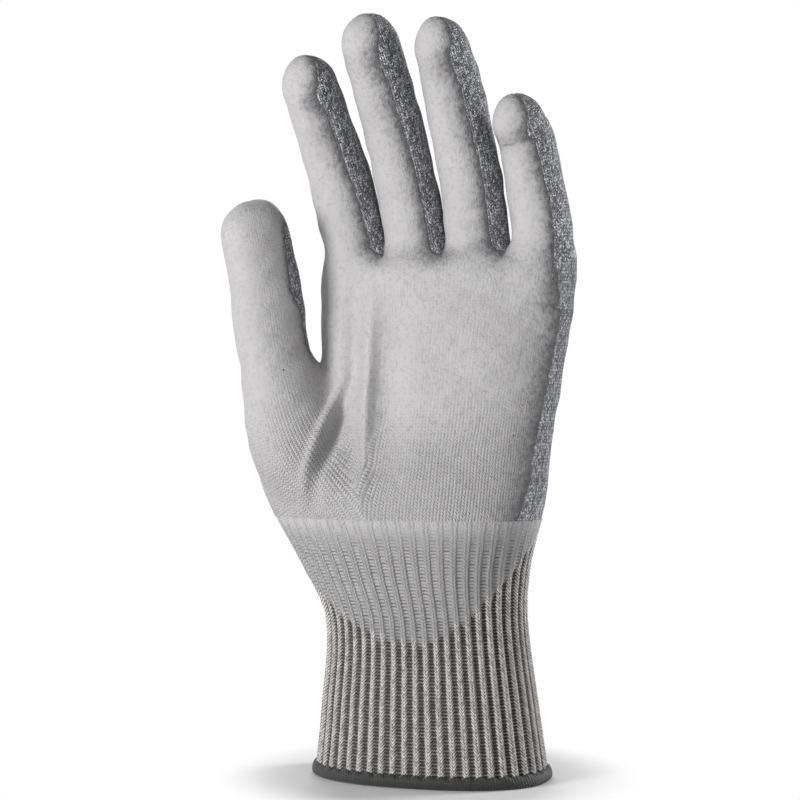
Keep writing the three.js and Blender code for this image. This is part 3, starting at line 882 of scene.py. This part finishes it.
# each fold of the palm: upper end and lower end as (x, z), half width, height over the palm
FOLDS = (
    ((-23.5, 138), (-40.0, 79), 1.8, 1.7),
    ((-20.4, 139), (-35.6, 80), 2.3, -1.7),
    ((-16.0, 164), (-17.4, 78), 2.4, 2.3),
    ((-22.5, 168), (-22.5, 112), 3.6, -2.6),
    ((-9.0, 166), (-9.2, 76), 5.5, -2.0),
)
FOLD_FRONT_Y = -4
FOLD_FULL_Y = -10
DRAPE_START = 8
RIPPLE_SIZES = ((31, 0.2), (23, 0.14), (17, 0.1), (13, 0.08), (10, 0.06), (8, 0.05),
                (6.5, 0.045), (5.5, 0.04))
rng = np.random.default_rng(13)
RIPPLES = [(unit(rng.normal(size=3)) * 2 * np.pi / length, rng.uniform(0, 2 * np.pi), height)
           for length, height in RIPPLE_SIZES]


def drape(points):
    """How far the cloth stands out from the smooth form: folds as Gaussian ridges along
    straight lines on the palm side, and slight ripples as a sum of slanted sine waves."""
    x, y, z = points[..., 0], points[..., 1], points[..., 2]
    on_palm = 1 - smooth_step(y, FOLD_FULL_Y, FOLD_FRONT_Y)
    rise = np.zeros_like(x)
    for upper, lower, width, height in FOLDS:
        way = np.array(lower) - np.array(upper)
        length = np.hypot(*way)
        way = way / length
        along = (x - upper[0]) * way[0] + (z - upper[1]) * way[1]
        aside = (x - upper[0]) * way[1] - (z - upper[1]) * way[0]
        half = 0.5 * length
        fade = smooth_step(along, 0, half) * (1 - smooth_step(along, half, length))
        rise += height * np.exp(-((aside / width) ** 2)) * fade * on_palm
    away = smooth_step(z, CUFF_LENGTH, CUFF_LENGTH + DRAPE_START)
    for wave, phase, height in RIPPLES:
        rise += away * height * np.sin(points @ wave + phase)
    return rise


def palm_size(z):
    """Centre and half sizes of the palm, straight lines from the seam to the finger roots."""
    share = np.clip((z - CUFF_LENGTH) / (PALM_LENGTH - PALM_ROUNDING), 0, 1)
    centre_x, half_width, half_depth = (
        low + (high - low) * share
        for low, high in (PALM_CENTRE_X, PALM_HALF_WIDTH, PALM_HALF_DEPTH))
    return centre_x, share - 1, half_width, half_depth


def palm_distance(points):
    """The palm's oval section, rounded off below its flat top."""
    x, y, z = points[..., 0], points[..., 1], points[..., 2]
    centre_x, centre_y, half_width, half_depth = palm_size(z)
    around = section_distance(x - centre_x, y - centre_y, half_width, half_depth, PALM_POWER)
    return -smooth_union(-around, PALM_TOP_Z - z, PALM_ROUNDING)


def tube_distance(points):
    """The cuff's tube, carried on upwards."""
    x, y, z = points[..., 0], points[..., 1], points[..., 2]
    centre_x, centre_y, half_width, half_depth = tube_size(z)
    return section_distance(x - centre_x, y - centre_y, half_width, half_depth, SECTION_POWER)


def base_distance(points):
    """Palm and thumb in one, passing into the cuff's tube towards the seam."""
    joined = smooth_union(palm_distance(points), thumb.distance(points), THUMB_JOIN)
    upper = smooth_step(points[..., 2], CUFF_LENGTH, PALM_FROM_Z)
    return joined * upper + tube_distance(points) * (1 - upper)


def hand_form(points):
    """Palm, thumb and finger roots as one smooth form, before the cloth drapes."""
    base = base_distance(points)
    joined = base
    for finger in fingers:
        near = points[..., 2] > PALM_TOP_Z - 2 * ROOT_SINK
        one = np.full(base.shape, FAR_AWAY)
        one[near] = finger.distance(points[near])
        joined = np.minimum(joined, smooth_union(base, one, FINGER_JOIN))
    return joined


def finger_form(finger):
    """The palm with only this finger on it."""
    def form(points):
        return smooth_union(palm_distance(points), finger.distance(points), FINGER_JOIN)
    return form


def gradient(distance, points):
    """Slopes of the distance along x, y and z, from four points round each point."""
    corners = np.array([(1, -1, -1), (-1, 1, -1), (-1, -1, 1), (1, 1, 1)], float)
    total = sum(corner * distance(points + GRADIENT_STEP * corner)[:, None] for corner in corners)
    return total / (4 * GRADIENT_STEP)


def lattice_surface(distance, low, high):
    """The zero surface of a distance on the shared lattice. Each cell that it crosses gets
    one point, the mean of the crossings on its edges, and every crossed edge joins its four
    cells by a quad. Steps down the slope then bring the points onto the surface."""
    start = np.floor((np.array(low) - LATTICE_ORIGIN) / LATTICE).astype(int)
    stop = np.ceil((np.array(high) - LATTICE_ORIGIN) / LATTICE).astype(int)
    start[2] = max(start[2], 0)
    shape = stop - start + 1
    axes_points = [(start[i] + np.arange(shape[i])) * LATTICE + LATTICE_ORIGIN[i] for i in range(3)]
    grid = np.stack(np.meshgrid(*axes_points, indexing="ij"), -1)
    values = distance(grid.reshape(-1, 3)).reshape(shape)
    inside = values < 0
    corner_steps = np.array([(i, j, k) for i in (0, 1) for j in (0, 1) for k in (0, 1)])
    cells = shape - 1
    count = sum(inside[i:i + cells[0], j:j + cells[1], k:k + cells[2]].astype(np.int8)
                for i, j, k in corner_steps)
    active = np.argwhere((count > 0) & (count < 8))
    number = np.full(cells, -1)
    number[tuple(active.T)] = np.arange(len(active))
    corner_values = np.stack([values[tuple((active + step).T)] for step in corner_steps], 1)
    total, crossings = np.zeros((len(active), 3)), np.zeros(len(active))
    for axis in range(3):
        for first in np.flatnonzero(corner_steps[:, axis] == 0):
            second = first + (4, 2, 1)[axis]
            a, b = corner_values[:, first], corner_values[:, second]
            crossed = (a < 0) != (b < 0)
            share = np.where(crossed, a / np.where(crossed, a - b, 1), 0)
            point = corner_steps[first] + share[:, None] * np.eye(3)[axis]
            total += point * crossed[:, None]
            crossings += crossed
    points = (active + start + total / crossings[:, None]) * LATTICE + LATTICE_ORIGIN
    faces, middles = [], []
    for axis in range(3):
        second, third = (axis + 1) % 3, (axis + 2) % 3
        low_side = np.take(inside, np.arange(shape[axis] - 1), axis)
        high_side = np.take(inside, np.arange(1, shape[axis]), axis)
        edges = np.argwhere(low_side != high_side)
        edges = edges[(edges[:, second] > 0) & (edges[:, third] > 0)
                      & (edges[:, second] < cells[second]) & (edges[:, third] < cells[third])]
        quad = []
        for back_second, back_third in ((1, 1), (0, 1), (0, 0), (1, 0)):
            cell = edges.copy()
            cell[:, second] -= back_second
            cell[:, third] -= back_third
            quad.append(number[tuple(cell.T)])
        quad = np.stack(quad, 1)
        outward = inside[tuple(edges.T)]
        faces.append(np.where(outward[:, None], quad, quad[:, ::-1]))
        middle = (edges + start).astype(float)
        middle[:, axis] += 0.5
        middles.append(middle * LATTICE + LATTICE_ORIGIN)
    seam = (active[:, 2] + start[2] == 0)
    points[seam, 2] = CUFF_LENGTH
    for _ in range(SETTLE_ROUNDS):
        slope = gradient(distance, points)
        slope[seam, 2] = 0
        move = distance(points) / np.maximum((slope * slope).sum(1), LEAST_SLOPE)
        points -= slope * np.clip(move, -LATTICE, LATTICE)[:, None]
    return points, np.concatenate(faces), np.concatenate(middles), unit(gradient(distance, points))


def hand_wales(points):
    """Stitch coordinates on the palm and the back: the share of the way round, and height."""
    centre_x, centre_y, half_width, half_depth = palm_size(points[..., 2])
    turn = np.arctan2((points[..., 0] - centre_x) / half_width,
                      -(points[..., 1] - centre_y) / half_depth) % (2 * np.pi)
    return np.stack([turn / (2 * np.pi) * WALES_ROUND_HAND, points[..., 2] / KNIT_COURSE], -1)


def stall_wales(stall, points):
    """Stitch coordinates on a stall: the turn round its centre line, and the arc length."""
    s, x, y, halves = stall.place(points)
    past = np.maximum(s - stall.run[-1], 0)
    turn = np.arctan2(x / halves[..., 0], -y / halves[..., 1]) % (2 * np.pi)
    wales = THUMB_WALES if stall is thumb else WALES_ROUND_FINGER
    return np.stack([turn / (2 * np.pi) * wales, (s + DOME_COURSES * past) / KNIT_COURSE], -1), wales


def face_wales(points, faces, middles, stall):
    """Corner coordinates of every face. On the hand, a face nearer to the thumb or to a
    finger's root than to the palm takes that stall's. A face across the start is unwrapped."""
    if stall is not None:
        coordinates, wales = stall_wales(stall, points)
        corners = coordinates[faces]
        unwrap(corners, wales)
        return corners
    corners = hand_wales(points)[faces]
    unwrap(corners, WALES_ROUND_HAND)
    nearest = palm_distance(middles)
    for one in (*fingers, thumb):
        reach = one.distance(middles)
        own = reach < nearest
        coordinates, wales = stall_wales(one, points)
        own_corners = coordinates[faces[own]]
        unwrap(own_corners, wales)
        corners[own] = own_corners
        nearest = np.minimum(nearest, reach)
    return corners


def unwrap(corners, wales):
    """Brings the corners of a face to the same side of the turn's start."""
    shift = corners[:, :, 0] - corners[:, :1, 0]
    corners[:, :, 0] -= np.round(shift / wales) * wales


def closed_shell(points, faces, chosen, outside, inside):
    """The chosen faces moved out, the same faces moved in and turned over, and a wall of
    quads along their open edges. Returns points, faces, the source point of each point and
    which face each quad came from."""
    kept = faces[chosen]
    used, local = np.unique(kept, return_inverse=True)
    local = local.reshape(kept.shape)
    count = len(used)
    edges = np.stack([local, np.roll(local, -1, 1)], -1).reshape(-1, 2)
    owner = np.repeat(np.flatnonzero(chosen), 4)
    code = edges[:, 0].astype(np.int64) * count + edges[:, 1]
    back = edges[:, 1].astype(np.int64) * count + edges[:, 0]
    open_edge = ~np.isin(code, back)
    a, b = edges[open_edge].T
    wall = np.stack([b, a, a + count, b + count], 1)
    shell = np.concatenate([local, local[:, ::-1] + count, wall])
    source = np.concatenate([used, used])
    face_source = np.concatenate([np.flatnonzero(chosen), np.flatnonzero(chosen), owner[open_edge]])
    return np.concatenate([outside[used], inside[used]]), shell, source, face_source, len(local)


def without_pinches(faces, chosen):
    """Drops chosen faces that leave a point shared by two separate fans of open edges."""
    for _ in range(PINCH_ROUNDS):
        kept = faces[chosen]
        edges = np.stack([kept, np.roll(kept, -1, 1)], -1).reshape(-1, 2).astype(np.int64)
        size = faces.max() + 1
        open_edge = ~np.isin(edges[:, 0] * size + edges[:, 1], edges[:, 1] * size + edges[:, 0])
        starts = np.bincount(edges[open_edge, 0], minlength=size)
        pinched = starts > 1
        if not pinched.any():
            break
        chosen = chosen & ~pinched[faces].any(1)
    return chosen


def shell_piece(name, surface, chosen, outside, inside, material, cover):
    """One closed piece of a surface with its stitch coordinates, cover value and normals."""
    points, faces, uv, normals = surface
    chosen = without_pinches(faces, chosen)
    shell_points, shell, source, face_source, outer_count = closed_shell(
        points, faces, chosen, outside, inside)
    corners = uv[face_source]
    corners[outer_count:2 * outer_count] = corners[outer_count:2 * outer_count, ::-1]
    half = len(source) // 2
    shell_normals = normals[source].copy()
    shell_normals[half:] *= -1
    return make_piece(name, shell_points, shell, material, corners,
                      {"cover": cover[source]}, shell_normals)


# The film lies on the palm side. Its cover runs from 0 on bare knit to 1 where it is full, by
# how far the surface faces a direction a little to the thumb side of the palm.
PALM_COVER_TURN = np.radians(-22)
FINGER_COVER_TURN = np.radians(-33)
THUMB_COVER_MORE = 0.7
COVER_UP = 0.3
COVER_NONE = 0.1
COVER_FULL = 0.93
COVER_RAGGED = 0.035
RAGGED_RIPPLES = RIPPLES[3:]
RAGGED_PITCH = 2.2
FINGER_COVER_Z = (150, 176)
FINGER_COVER_X = (-44, -36)
THUMB_SIDE_X = -27
THUMB_SIDE_SHIFT = 14
THUMB_SIDE_Z = (138, 158)
THUMB_SIDE_BLUR = 5
THUMB_COVER_Y = (-6, 2)
THUMB_COVER_Z = (84, 96)


def cover_of(points, normals):
    """The film's cover: a smooth step of how far the surface faces the film's side, with more
    on the thumb and a ragged edge. The side turns from the palm to the fingers."""
    x, y, z = points.T
    on_finger = smooth_step(z, *FINGER_COVER_Z) * smooth_step(x, *FINGER_COVER_X)
    turn = PALM_COVER_TURN + (FINGER_COVER_TURN - PALM_COVER_TURN) * on_finger
    facing = (normals[:, 0] * np.sin(turn) - normals[:, 1] * np.cos(turn)
              + normals[:, 2] * COVER_UP)
    thumb_side = THUMB_SIDE_X - THUMB_SIDE_SHIFT * smooth_step(z, *THUMB_SIDE_Z)
    on_thumb = 1 - smooth_step(x, thumb_side - THUMB_SIDE_BLUR, thumb_side + THUMB_SIDE_BLUR)
    on_thumb = on_thumb * (1 - smooth_step(y, *THUMB_COVER_Y)) * smooth_step(z, *THUMB_COVER_Z)
    facing += on_thumb * THUMB_COVER_MORE
    ragged = sum(np.sin(points @ wave * RAGGED_PITCH + phase) for wave, phase, _ in RAGGED_RIPPLES)
    ragged = ragged / len(RAGGED_RIPPLES)
    return smooth_step(facing + COVER_RAGGED * ragged, COVER_NONE, COVER_FULL)


def build_surface(form, low, high, stall):
    """The draped cloth over a smooth form, its faces' middles and its film cover, which
    follows the way the smooth form faces and not each wrinkle."""
    def cloth(points):
        return form(points) - drape(points)

    points, faces, middles, normals = lattice_surface(cloth, low, high)
    uv = face_wales(points, faces, middles, stall)
    return (points, faces, uv, normals), middles, cover_of(points, gradient(form, points))


def above_cut(stall, middles, s):
    """Whether points lie beyond the plane square to the stall at arc length s."""
    return (middles - stall.at(stall.line, s)) @ stall.at(stall.heading, s) > 0


KNIT_DARK = (0.045, 0.046, 0.052, 1)
KNIT_MIDDLE = (0.22, 0.225, 0.245, 1)
KNIT_LIGHT = (0.78, 0.79, 0.83, 1)
FILM_GREY = (0.41, 0.400, 0.404, 1)
FILM_PALE = (0.43, 0.420, 0.424, 1)
# The next two film greys carry painted shade: a dimmer one for the low places of the pebbles, and a
# dark one where the film thins and turns away from the key lamp.
FILM_PEBBLE_SHADE = (0.37, 0.362, 0.366, 1)
FILM_THIN_AND_SHADED = (0.085, 0.085, 0.09, 1)
SPECK_COLOUR = (0.03, 0.03, 0.03, 1)
KNIT_V_RISE = 0.7
KNIT_SEED = 5.0
KNIT_FIBRES = (5.0, 2.6)
KNIT_FIBRE_TONE, KNIT_DICE_TONE, KNIT_HEIGHT_SHADE = 2.6, 0.5, 0.42
KNIT_MIDDLE_RANGE = (0.2, 0.6)
KNIT_LIGHT_RANGE = (0.55, 0.9)
KNIT_SOAK_SHARE = 2.0
KNIT_SOAK_RANGE = (0.0, 0.6)
KNIT_BUMP = 0.35


def marled_yarn(recipe, u, v):
    """Marled plain knit: the height of its V stitches, and dark, middle and bright fibres. A
    random tone for each half stitch and fine fibres along the strand mix the yarns, and the
    height adds painted shade: the strands' crests lighter, the hollows between them darker."""
    _, course, _, height = v_stitches(u, v, 1.0, KNIT_V_RISE)
    half_stitch = recipe.dice(u * 2.0, course + KNIT_SEED, KNIT_SEED)
    fibre = recipe.noise(recipe.vector(u * KNIT_FIBRES[0], course * KNIT_FIBRES[1], KNIT_SEED),
                         1.0, FIBRE_DETAIL)
    # The height term is painted shade; the half-stitch and fibre terms are the yarn's own marl.
    tone = (half_stitch * KNIT_DICE_TONE + (fibre - 0.5) * KNIT_FIBRE_TONE
            + height * KNIT_HEIGHT_SHADE)
    yarn = recipe.mix(recipe.step(tone, *KNIT_MIDDLE_RANGE), KNIT_DARK, KNIT_MIDDLE)
    return height, recipe.mix(recipe.step(tone, *KNIT_LIGHT_RANGE), yarn, KNIT_LIGHT)


def knit_material():
    """Marled plain knit: dark and light strands in V stitches. Where some film has soaked in,
    the hollows of the stitches turn film grey."""
    recipe = Cloth("marled_knit", roughness=0.85, sheen=0.2, specular=0.3)
    height, colour = marled_yarn(recipe, *recipe.stitch_place())
    soaked = recipe.step(recipe.value_of("cover") * KNIT_SOAK_SHARE - height, *KNIT_SOAK_RANGE)
    return recipe.finish(recipe.mix(soaked, colour, FILM_GREY), height, KNIT_BUMP)


PEBBLE_SCALE = 750.0
GRAIN_SCALE = 2100.0
CLOUD_SCALE = 60.0
CLOUD_DETAIL = 2.0
CLOUD_RANGE = (0.35, 0.65)
PEBBLE_RANGE = (0.3, 0.5)
PEBBLE_SHARE, GRAIN_SHARE = 0.6, 0.4
FILM_THIN_COVER, FILM_THIN_GRAIN = 5.0, 2.4
FILM_THIN_RANGE = (0.0, 0.8)
# The film darkens as its cover falls: partly the film thinning over the yarn, partly painted shade
# on the sides turned away from the key lamp.
THIN_SHADE_UNEVEN = 1.1
THIN_SHADE_FREE_COVER = 1.15
THIN_SHADE_RANGE = (0.28, 1.03)
SPECK_SCALE = 260.0
SPECK_RARITY = 0.95
SPECK_SIZE = 0.08
PRINT_FULL = 0.5
PRINT_LOSS = 0.42
PRINT_RANGE = (95 * MM, 128 * MM)
PEBBLE_THIN = 1.6
PEBBLE_LOSS = 1.1
FILM_BUMP = 0.72


def film_material():
    """Matt polyurethane film: pale grey and pebbled about a millimetre apart, its pebbles' low
    places a little darker as painted shade. The stitches print through low on the palm. It darkens
    as it thins, and this darkening is also painted shade on the sides turned away from the key
    lamp; at its edge the yarn shows."""
    recipe = Cloth("pu_film", roughness=0.58, specular=0.35)
    place = recipe.object_place()
    height, yarn = marled_yarn(recipe, *recipe.stitch_place())
    pebble = recipe.noise(place, PEBBLE_SCALE)
    grain = recipe.noise(place, GRAIN_SCALE)
    cover = recipe.value_of("cover")
    thin = cover * FILM_THIN_COVER - height + (grain - 0.5) * FILM_THIN_GRAIN
    full = recipe.step(thin, *FILM_THIN_RANGE)
    cloud = recipe.step(recipe.noise(place, CLOUD_SCALE, CLOUD_DETAIL), *CLOUD_RANGE)
    grey = recipe.mix(cloud, FILM_GREY, FILM_PALE)
    # Painted shade: the low places of the pebbles are a little darker.
    grey = recipe.mix(recipe.step(pebble, *PEBBLE_RANGE), FILM_PEBBLE_SHADE, grey)
    bumpy = pebble * PEBBLE_SHARE + grain * GRAIN_SHARE
    # Where the cover falls the film darkens: its thinning, and painted shade on the sides turned
    # from the key lamp.
    thin_and_shade = cover + (bumpy - 0.5) * THIN_SHADE_UNEVEN * (THIN_SHADE_FREE_COVER - cover)
    grey = recipe.mix(recipe.step(thin_and_shade, *THIN_SHADE_RANGE), FILM_THIN_AND_SHADED, grey)
    cell = recipe.add("ShaderNodeTexVoronoi", {"Vector": place, "Scale": SPECK_SCALE}, "Color")
    distance = Signal(recipe, cell.socket.node.outputs["Distance"])
    rare = recipe.split(cell, "Color")[0].of("GREATER_THAN", SPECK_RARITY)
    grey = recipe.mix(rare * distance.of("LESS_THAN", SPECK_SIZE), grey, SPECK_COLOUR)
    height_z = recipe.split(place)[2]
    printing = PRINT_FULL - PRINT_LOSS * recipe.step(height_z, *PRINT_RANGE)
    printed = height * (printing + (1.0 - full))
    relief = bumpy * (PEBBLE_THIN - cover * PEBBLE_LOSS)
    return recipe.finish(recipe.mix(full, yarn, grey), relief + printed, FILM_BUMP)


FILM_PROUD = 0.3
FILM_SUNK = -0.3
FILM_INSIDE = -0.6
COVER_EDGE = 0.02
FILM_FULL_COVER = 0.6

marled_knit = knit_material()
pu_film = film_material()


def lay_piece(name, surface, chosen, cover, bend, liner_node, film_node):
    """The knitted piece and, over its covered faces, the film, both passed to the same function
    bend.
    """
    points, faces, uv, normals = surface
    inner = points - normals * SKIN_WALL
    skin = shell_piece(f"{name}_knit", surface, chosen, points, inner, marled_knit, cover)
    bend(skin)
    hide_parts(liner_node)
    thickness = FILM_SUNK + (FILM_PROUD - FILM_SUNK) * smooth_step(cover, 0, FILM_FULL_COVER)
    coated = chosen & (cover[faces].max(1) > COVER_EDGE)
    film = shell_piece(f"{name}_film", surface, coated, points + normals * thickness[:, None],
                       points + normals * FILM_INSIDE, pu_film, cover)
    bend(film)
    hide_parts(film_node)


def ride_hand(piece):
    """The pieces of the palm move with the hand."""
    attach(piece, "hand")


HAND_LOW = (-68, -38, CUFF_LENGTH - LATTICE)
HAND_HIGH = (50, 24, PALM_TOP_Z + 12)
surface, middles, cover = build_surface(hand_form, HAND_LOW, HAND_HIGH, None)
finger_choice = np.argmin([finger.distance(middles) for finger in fingers], 0)
on_hand = np.ones(len(middles), bool)
for place, finger in enumerate(fingers):
    on_hand &= ~((finger_choice == place) & above_cut(finger, middles, finger.joints[0] + ROOT_CUT))
on_thumb = (thumb.distance(middles) < palm_distance(middles)) & above_cut(
    thumb, middles, thumb.joints[0] + ROOT_CUT)
on_hand &= ~on_thumb
lay_piece("hand", surface, on_hand, cover, ride_hand, "hand_liner", "palm_coating")


BEND_SHARE = 0.36
ROOT_BEND_MORE = 1.2


def lay_stall(stall, form, low, high):
    """The stall's pieces, cut half-way between its hinges, one for each hinge."""
    surface, middles, cover = build_surface(form, low, high, stall)
    own = stall.distance(middles) < palm_distance(middles)
    cuts = [stall.joints[0] + ROOT_CUT]
    ends = [*stall.joints[1:], stall.run[-1] + TIP_DOME]
    cuts += [(a + b) / 2 for a, b in zip(stall.joints, stall.joints[1:])]
    past = [own & above_cut(stall, middles, cut) for cut in cuts] + [np.zeros(len(middles), bool)]
    for i, body in enumerate(stall.bodies):
        centre, heading = stall.hinge(i)
        child = f"{stall.name}_{body}"
        parent = f"{stall.name}_{stall.bodies[i - 1]}" if i else "hand"
        reach = BEND_SHARE * (ends[i] - stall.joints[i])
        before, after = (-reach, reach) if i else (ROOT_CUT, ROOT_CUT + ROOT_BEND_MORE * reach)

        def bend(piece, parent=parent, child=child, centre=centre, heading=heading,
                 before=before, after=after):
            bend_across(piece, parent, child, centre * MM, heading, before * MM, after * MM)

        lay_piece(child, surface, past[i] & ~past[i + 1], cover, bend,
                  f"{child}_liner", f"{child}_coating")


# how far each lattice reaches past the centre line: half its width, half its depth, its end
FINGER_BOX = np.array([13, 14, 5])
FINGER_FROM_Z = PALM_TOP_Z - 4
THUMB_BOX = np.array([17, 16, TIP_DOME + 4])
THUMB_BOX_BELOW = 2
THUMB_FROM = 6
for finger in fingers:
    corners = np.concatenate([finger.line, finger.line[-1:] + [0, 0, TIP_DOME]])
    above = corners[corners[:, 2] > FINGER_FROM_Z]
    lay_stall(finger, finger_form(finger),
              above.min(0) - FINGER_BOX * [1, 1, 0], above.max(0) + FINGER_BOX)
thumb_top = thumb.line[thumb.run > thumb.joints[0] - THUMB_FROM]
thumb_low = thumb_top.min(0) - [*THUMB_BOX[:2], THUMB_BOX_BELOW]
lay_stall(thumb, base_distance, thumb_low, thumb_top.max(0) + THUMB_BOX)

# ---------------------------------------------------------------- film on the heel and wrist
# The dip runs on over the palm side of the rib. It bridges the grooves, so the wales show only
# softly, and its lower edge curves up to both sides.
RIB_FILM_LOW_Z = 41
RIB_FILM_FADE = 8
RIB_FILM_RELIEF = 0.42
RIB_FILM_FLAT_Z = 66
FILM_OVER_WALE = 0.25
RIB_FILM_RISE_LEFT = 23
RIB_FILM_RISE_RIGHT = 33
RIB_FILM_BELOW = 3
RIB_FILM_FULL_COVER = 0.8
# each wave of the ragged edge: height, count round the rib, start
RIB_FILM_WAVES = ((0.5, 37, 0), (0.4, 23, 1), (0.3, 61, 2))


def point_normals(points, faces):
    """The sum of the crossed diagonals of the quads at each point, made unit length."""
    a, b, c, d = (points[faces[:, i]] for i in range(4))
    crossed = np.cross(c - a, d - b)
    total = np.zeros_like(points)
    for corner in range(4):
        for axis in range(3):
            total[:, axis] += np.bincount(faces[:, corner], crossed[:, axis], len(points))
    return unit(total)


def rib_film_piece(name, low_z, high_z, parent, child, hinge, node):
    """The film over a length of rib: the rib's own surface lifted, most of all over the
    grooves, and let down below the stitches where the cover ends."""
    columns = WALES_AROUND * WALE_STEPS
    share = np.arange(columns) / columns
    rows_z = rib_rows(low_z, high_z)
    turn = 2 * np.pi * share
    rise = np.where(np.sin(turn) > 0, RIB_FILM_RISE_RIGHT, RIB_FILM_RISE_LEFT)
    uneven = sum(height * np.sin(count * turn + start) for height, count, start in RIB_FILM_WAVES)
    edge = RIB_FILM_LOW_Z + rise * (1 - np.cos(turn)) + uneven
    cover = smooth_step(rows_z[:, None] - edge[None, :], 0, RIB_FILM_FADE)
    left_over = RIB_FILM_RELIEF * (
        1 - smooth_step(rows_z, RIB_FILM_FLAT_Z, CUFF_LENGTH - RIB_SHUT))[:, None]
    over_groove = smooth_step(wale_side(share), *RIDGE_RANGE)
    filling = FILM_OVER_WALE + over_groove * (RIB_RELIEF - left_over) * below_seam(rows_z)
    thickness = FILM_SUNK + (filling - FILM_SUNK) * smooth_step(cover, 0, RIB_FILM_FULL_COVER)
    outside = rib_shape(rows_z, share, thickness).reshape(-1, 3)
    inside = rib_shape(rows_z, share, FILM_INSIDE).reshape(-1, 3)
    faces = ring_faces(len(rows_z), columns)
    uv = ring_uv(len(rows_z), columns, 1 / WALE_STEPS, rows_z / COURSE_PITCH)
    chosen = cover.reshape(-1)[faces].max(1) > COVER_EDGE
    surface = (outside, faces, uv, point_normals(outside, faces))
    film = shell_piece(name, surface, chosen, outside, inside, rib_film, cover.reshape(-1))
    bend_across(film, parent, child, hinge, UPWARD, -BEND_REACH, BEND_REACH)
    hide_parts(node)


# Painted shade on the film over the rib: a dim grey between the printed strand crests, a darker grey
# in the bridged grooves and on the side turned away from the key lamp, and a near black in the
# dents.
FILM_PRINT_SHADE = (0.24, 0.238, 0.24, 1)
FILM_SHADE_GREY = (0.2, 0.198, 0.2, 1)
FILM_PIT = (0.07, 0.068, 0.068, 1)
RIB_FILM_LOW_RANGE = (RIB_FILM_LOW_Z / COURSE_PITCH, 62 / COURSE_PITCH)
RIB_FILM_SEAM_RANGE = ((CUFF_LENGTH - 12) / COURSE_PITCH, CUFF_LENGTH / COURSE_PITCH)
RIB_FILM_THIN_WALES = (2, 11)
RIB_FILM_THIN_SHARE = 0.9
RIB_FILM_GRAIN_SCALE = 1800.0
RIB_FILM_GRAIN_DETAIL = 1.5
PRINT_GRAIN = 1.8
RIB_PRINT_RANGE = (0.35, 1.0)
SUNK_SMOOTH = 0.85
OUTWARD_SHADE = 0.45
SUNK_DARK, SUNK_DARK_LOW = 0.1, 0.6
DENT_GRAIN = 2.0
DENT_RANGE = (-0.1, 0.9)
DENT_SEED = 4.0
DENT_CHANCE, DENT_LEAST = 0.5, 0.42
DENT_DARK, DENT_DARK_LOW = 0.82, 0.4
DENT_DEPTH = 0.8
RIB_THIN_COVER, RIB_THIN_GRAIN = 2.2, 4.0
RIB_THIN_RANGE = (0.2, 1.1)
RIB_FILM_BUMP = 0.25


def rib_film_material():
    """The same film on the rib: printed with the V stitches and dented once a course in the
    bridged grooves, deeper and darker towards its lower edge, where it thins to yarn. Painted
    shade darkens it between the printed strand crests, in the grooves and dents, and on the
    side turned towards the little finger, away from the key lamp."""
    recipe = Cloth("pu_film_on_rib", roughness=0.6, specular=0.3)
    u, v = recipe.stitch_place()
    height, groove, yarn = rib_colours(recipe, u, v)
    grain = recipe.noise(recipe.object_place(), RIB_FILM_GRAIN_SCALE, RIB_FILM_GRAIN_DETAIL)
    uneven = grain - 0.5
    # The side turned towards the little finger: the film is thinner there, and it is painted in
    # shade.
    outward = recipe.step(u, *RIB_FILM_THIN_WALES) * u.of("LESS_THAN", WALES_AROUND / 2)
    low = (1.0 - recipe.step(v, *RIB_FILM_LOW_RANGE)).of("MAXIMUM", outward * RIB_FILM_THIN_SHARE)
    ribbed = 1.0 - recipe.step(v, *RIB_FILM_SEAM_RANGE)
    printed = height + uneven * PRINT_GRAIN
    sunk = groove * ribbed
    smooth = recipe.step(printed, *RIB_PRINT_RANGE).of("MAXIMUM", sunk * SUNK_SMOOTH)
    # Painted shade between the printed strand crests.
    grey = recipe.mix(smooth.of("MAXIMUM", 1.0 - ribbed), FILM_PRINT_SHADE, FILM_PALE)
    # Painted shade on the side turned away from the key lamp, and in the bridged grooves, most near
    # the lower edge.
    grey = recipe.mix(outward * OUTWARD_SHADE, grey, FILM_SHADE_GREY)
    grey = recipe.mix(sunk * (low * SUNK_DARK_LOW + SUNK_DARK), grey, FILM_SHADE_GREY)
    wave = (v * (-2 * np.pi)).of("SINE")
    chance = recipe.dice(u + 0.5, v + 0.5, DENT_SEED)
    dent = recipe.step(wave + uneven * DENT_GRAIN, *DENT_RANGE) * sunk
    dent = dent * (chance * DENT_CHANCE + DENT_LEAST)
    # Painted shade in the dents.
    grey = recipe.mix(dent * (low * DENT_DARK_LOW + DENT_DARK), grey, FILM_PIT)
    thin = recipe.value_of("cover") * RIB_THIN_COVER - height + uneven * RIB_THIN_GRAIN
    full = recipe.step(thin, *RIB_THIN_RANGE)
    return recipe.finish(recipe.mix(full, yarn, grey), printed - dent * DENT_DEPTH, RIB_FILM_BUMP)


rib_film = rib_film_material()
rib_film_piece("wrist_film", RIB_FILM_LOW_Z - RIB_FILM_BELOW, RIB_SPLIT_Z,
               "cuff", "wrist", extend_hinge, "wrist_coating")
rib_film_piece("heel_film", RIB_SPLIT_Z, CUFF_LENGTH,
               "wrist", "hand", flex_hinge, "heel_coating")
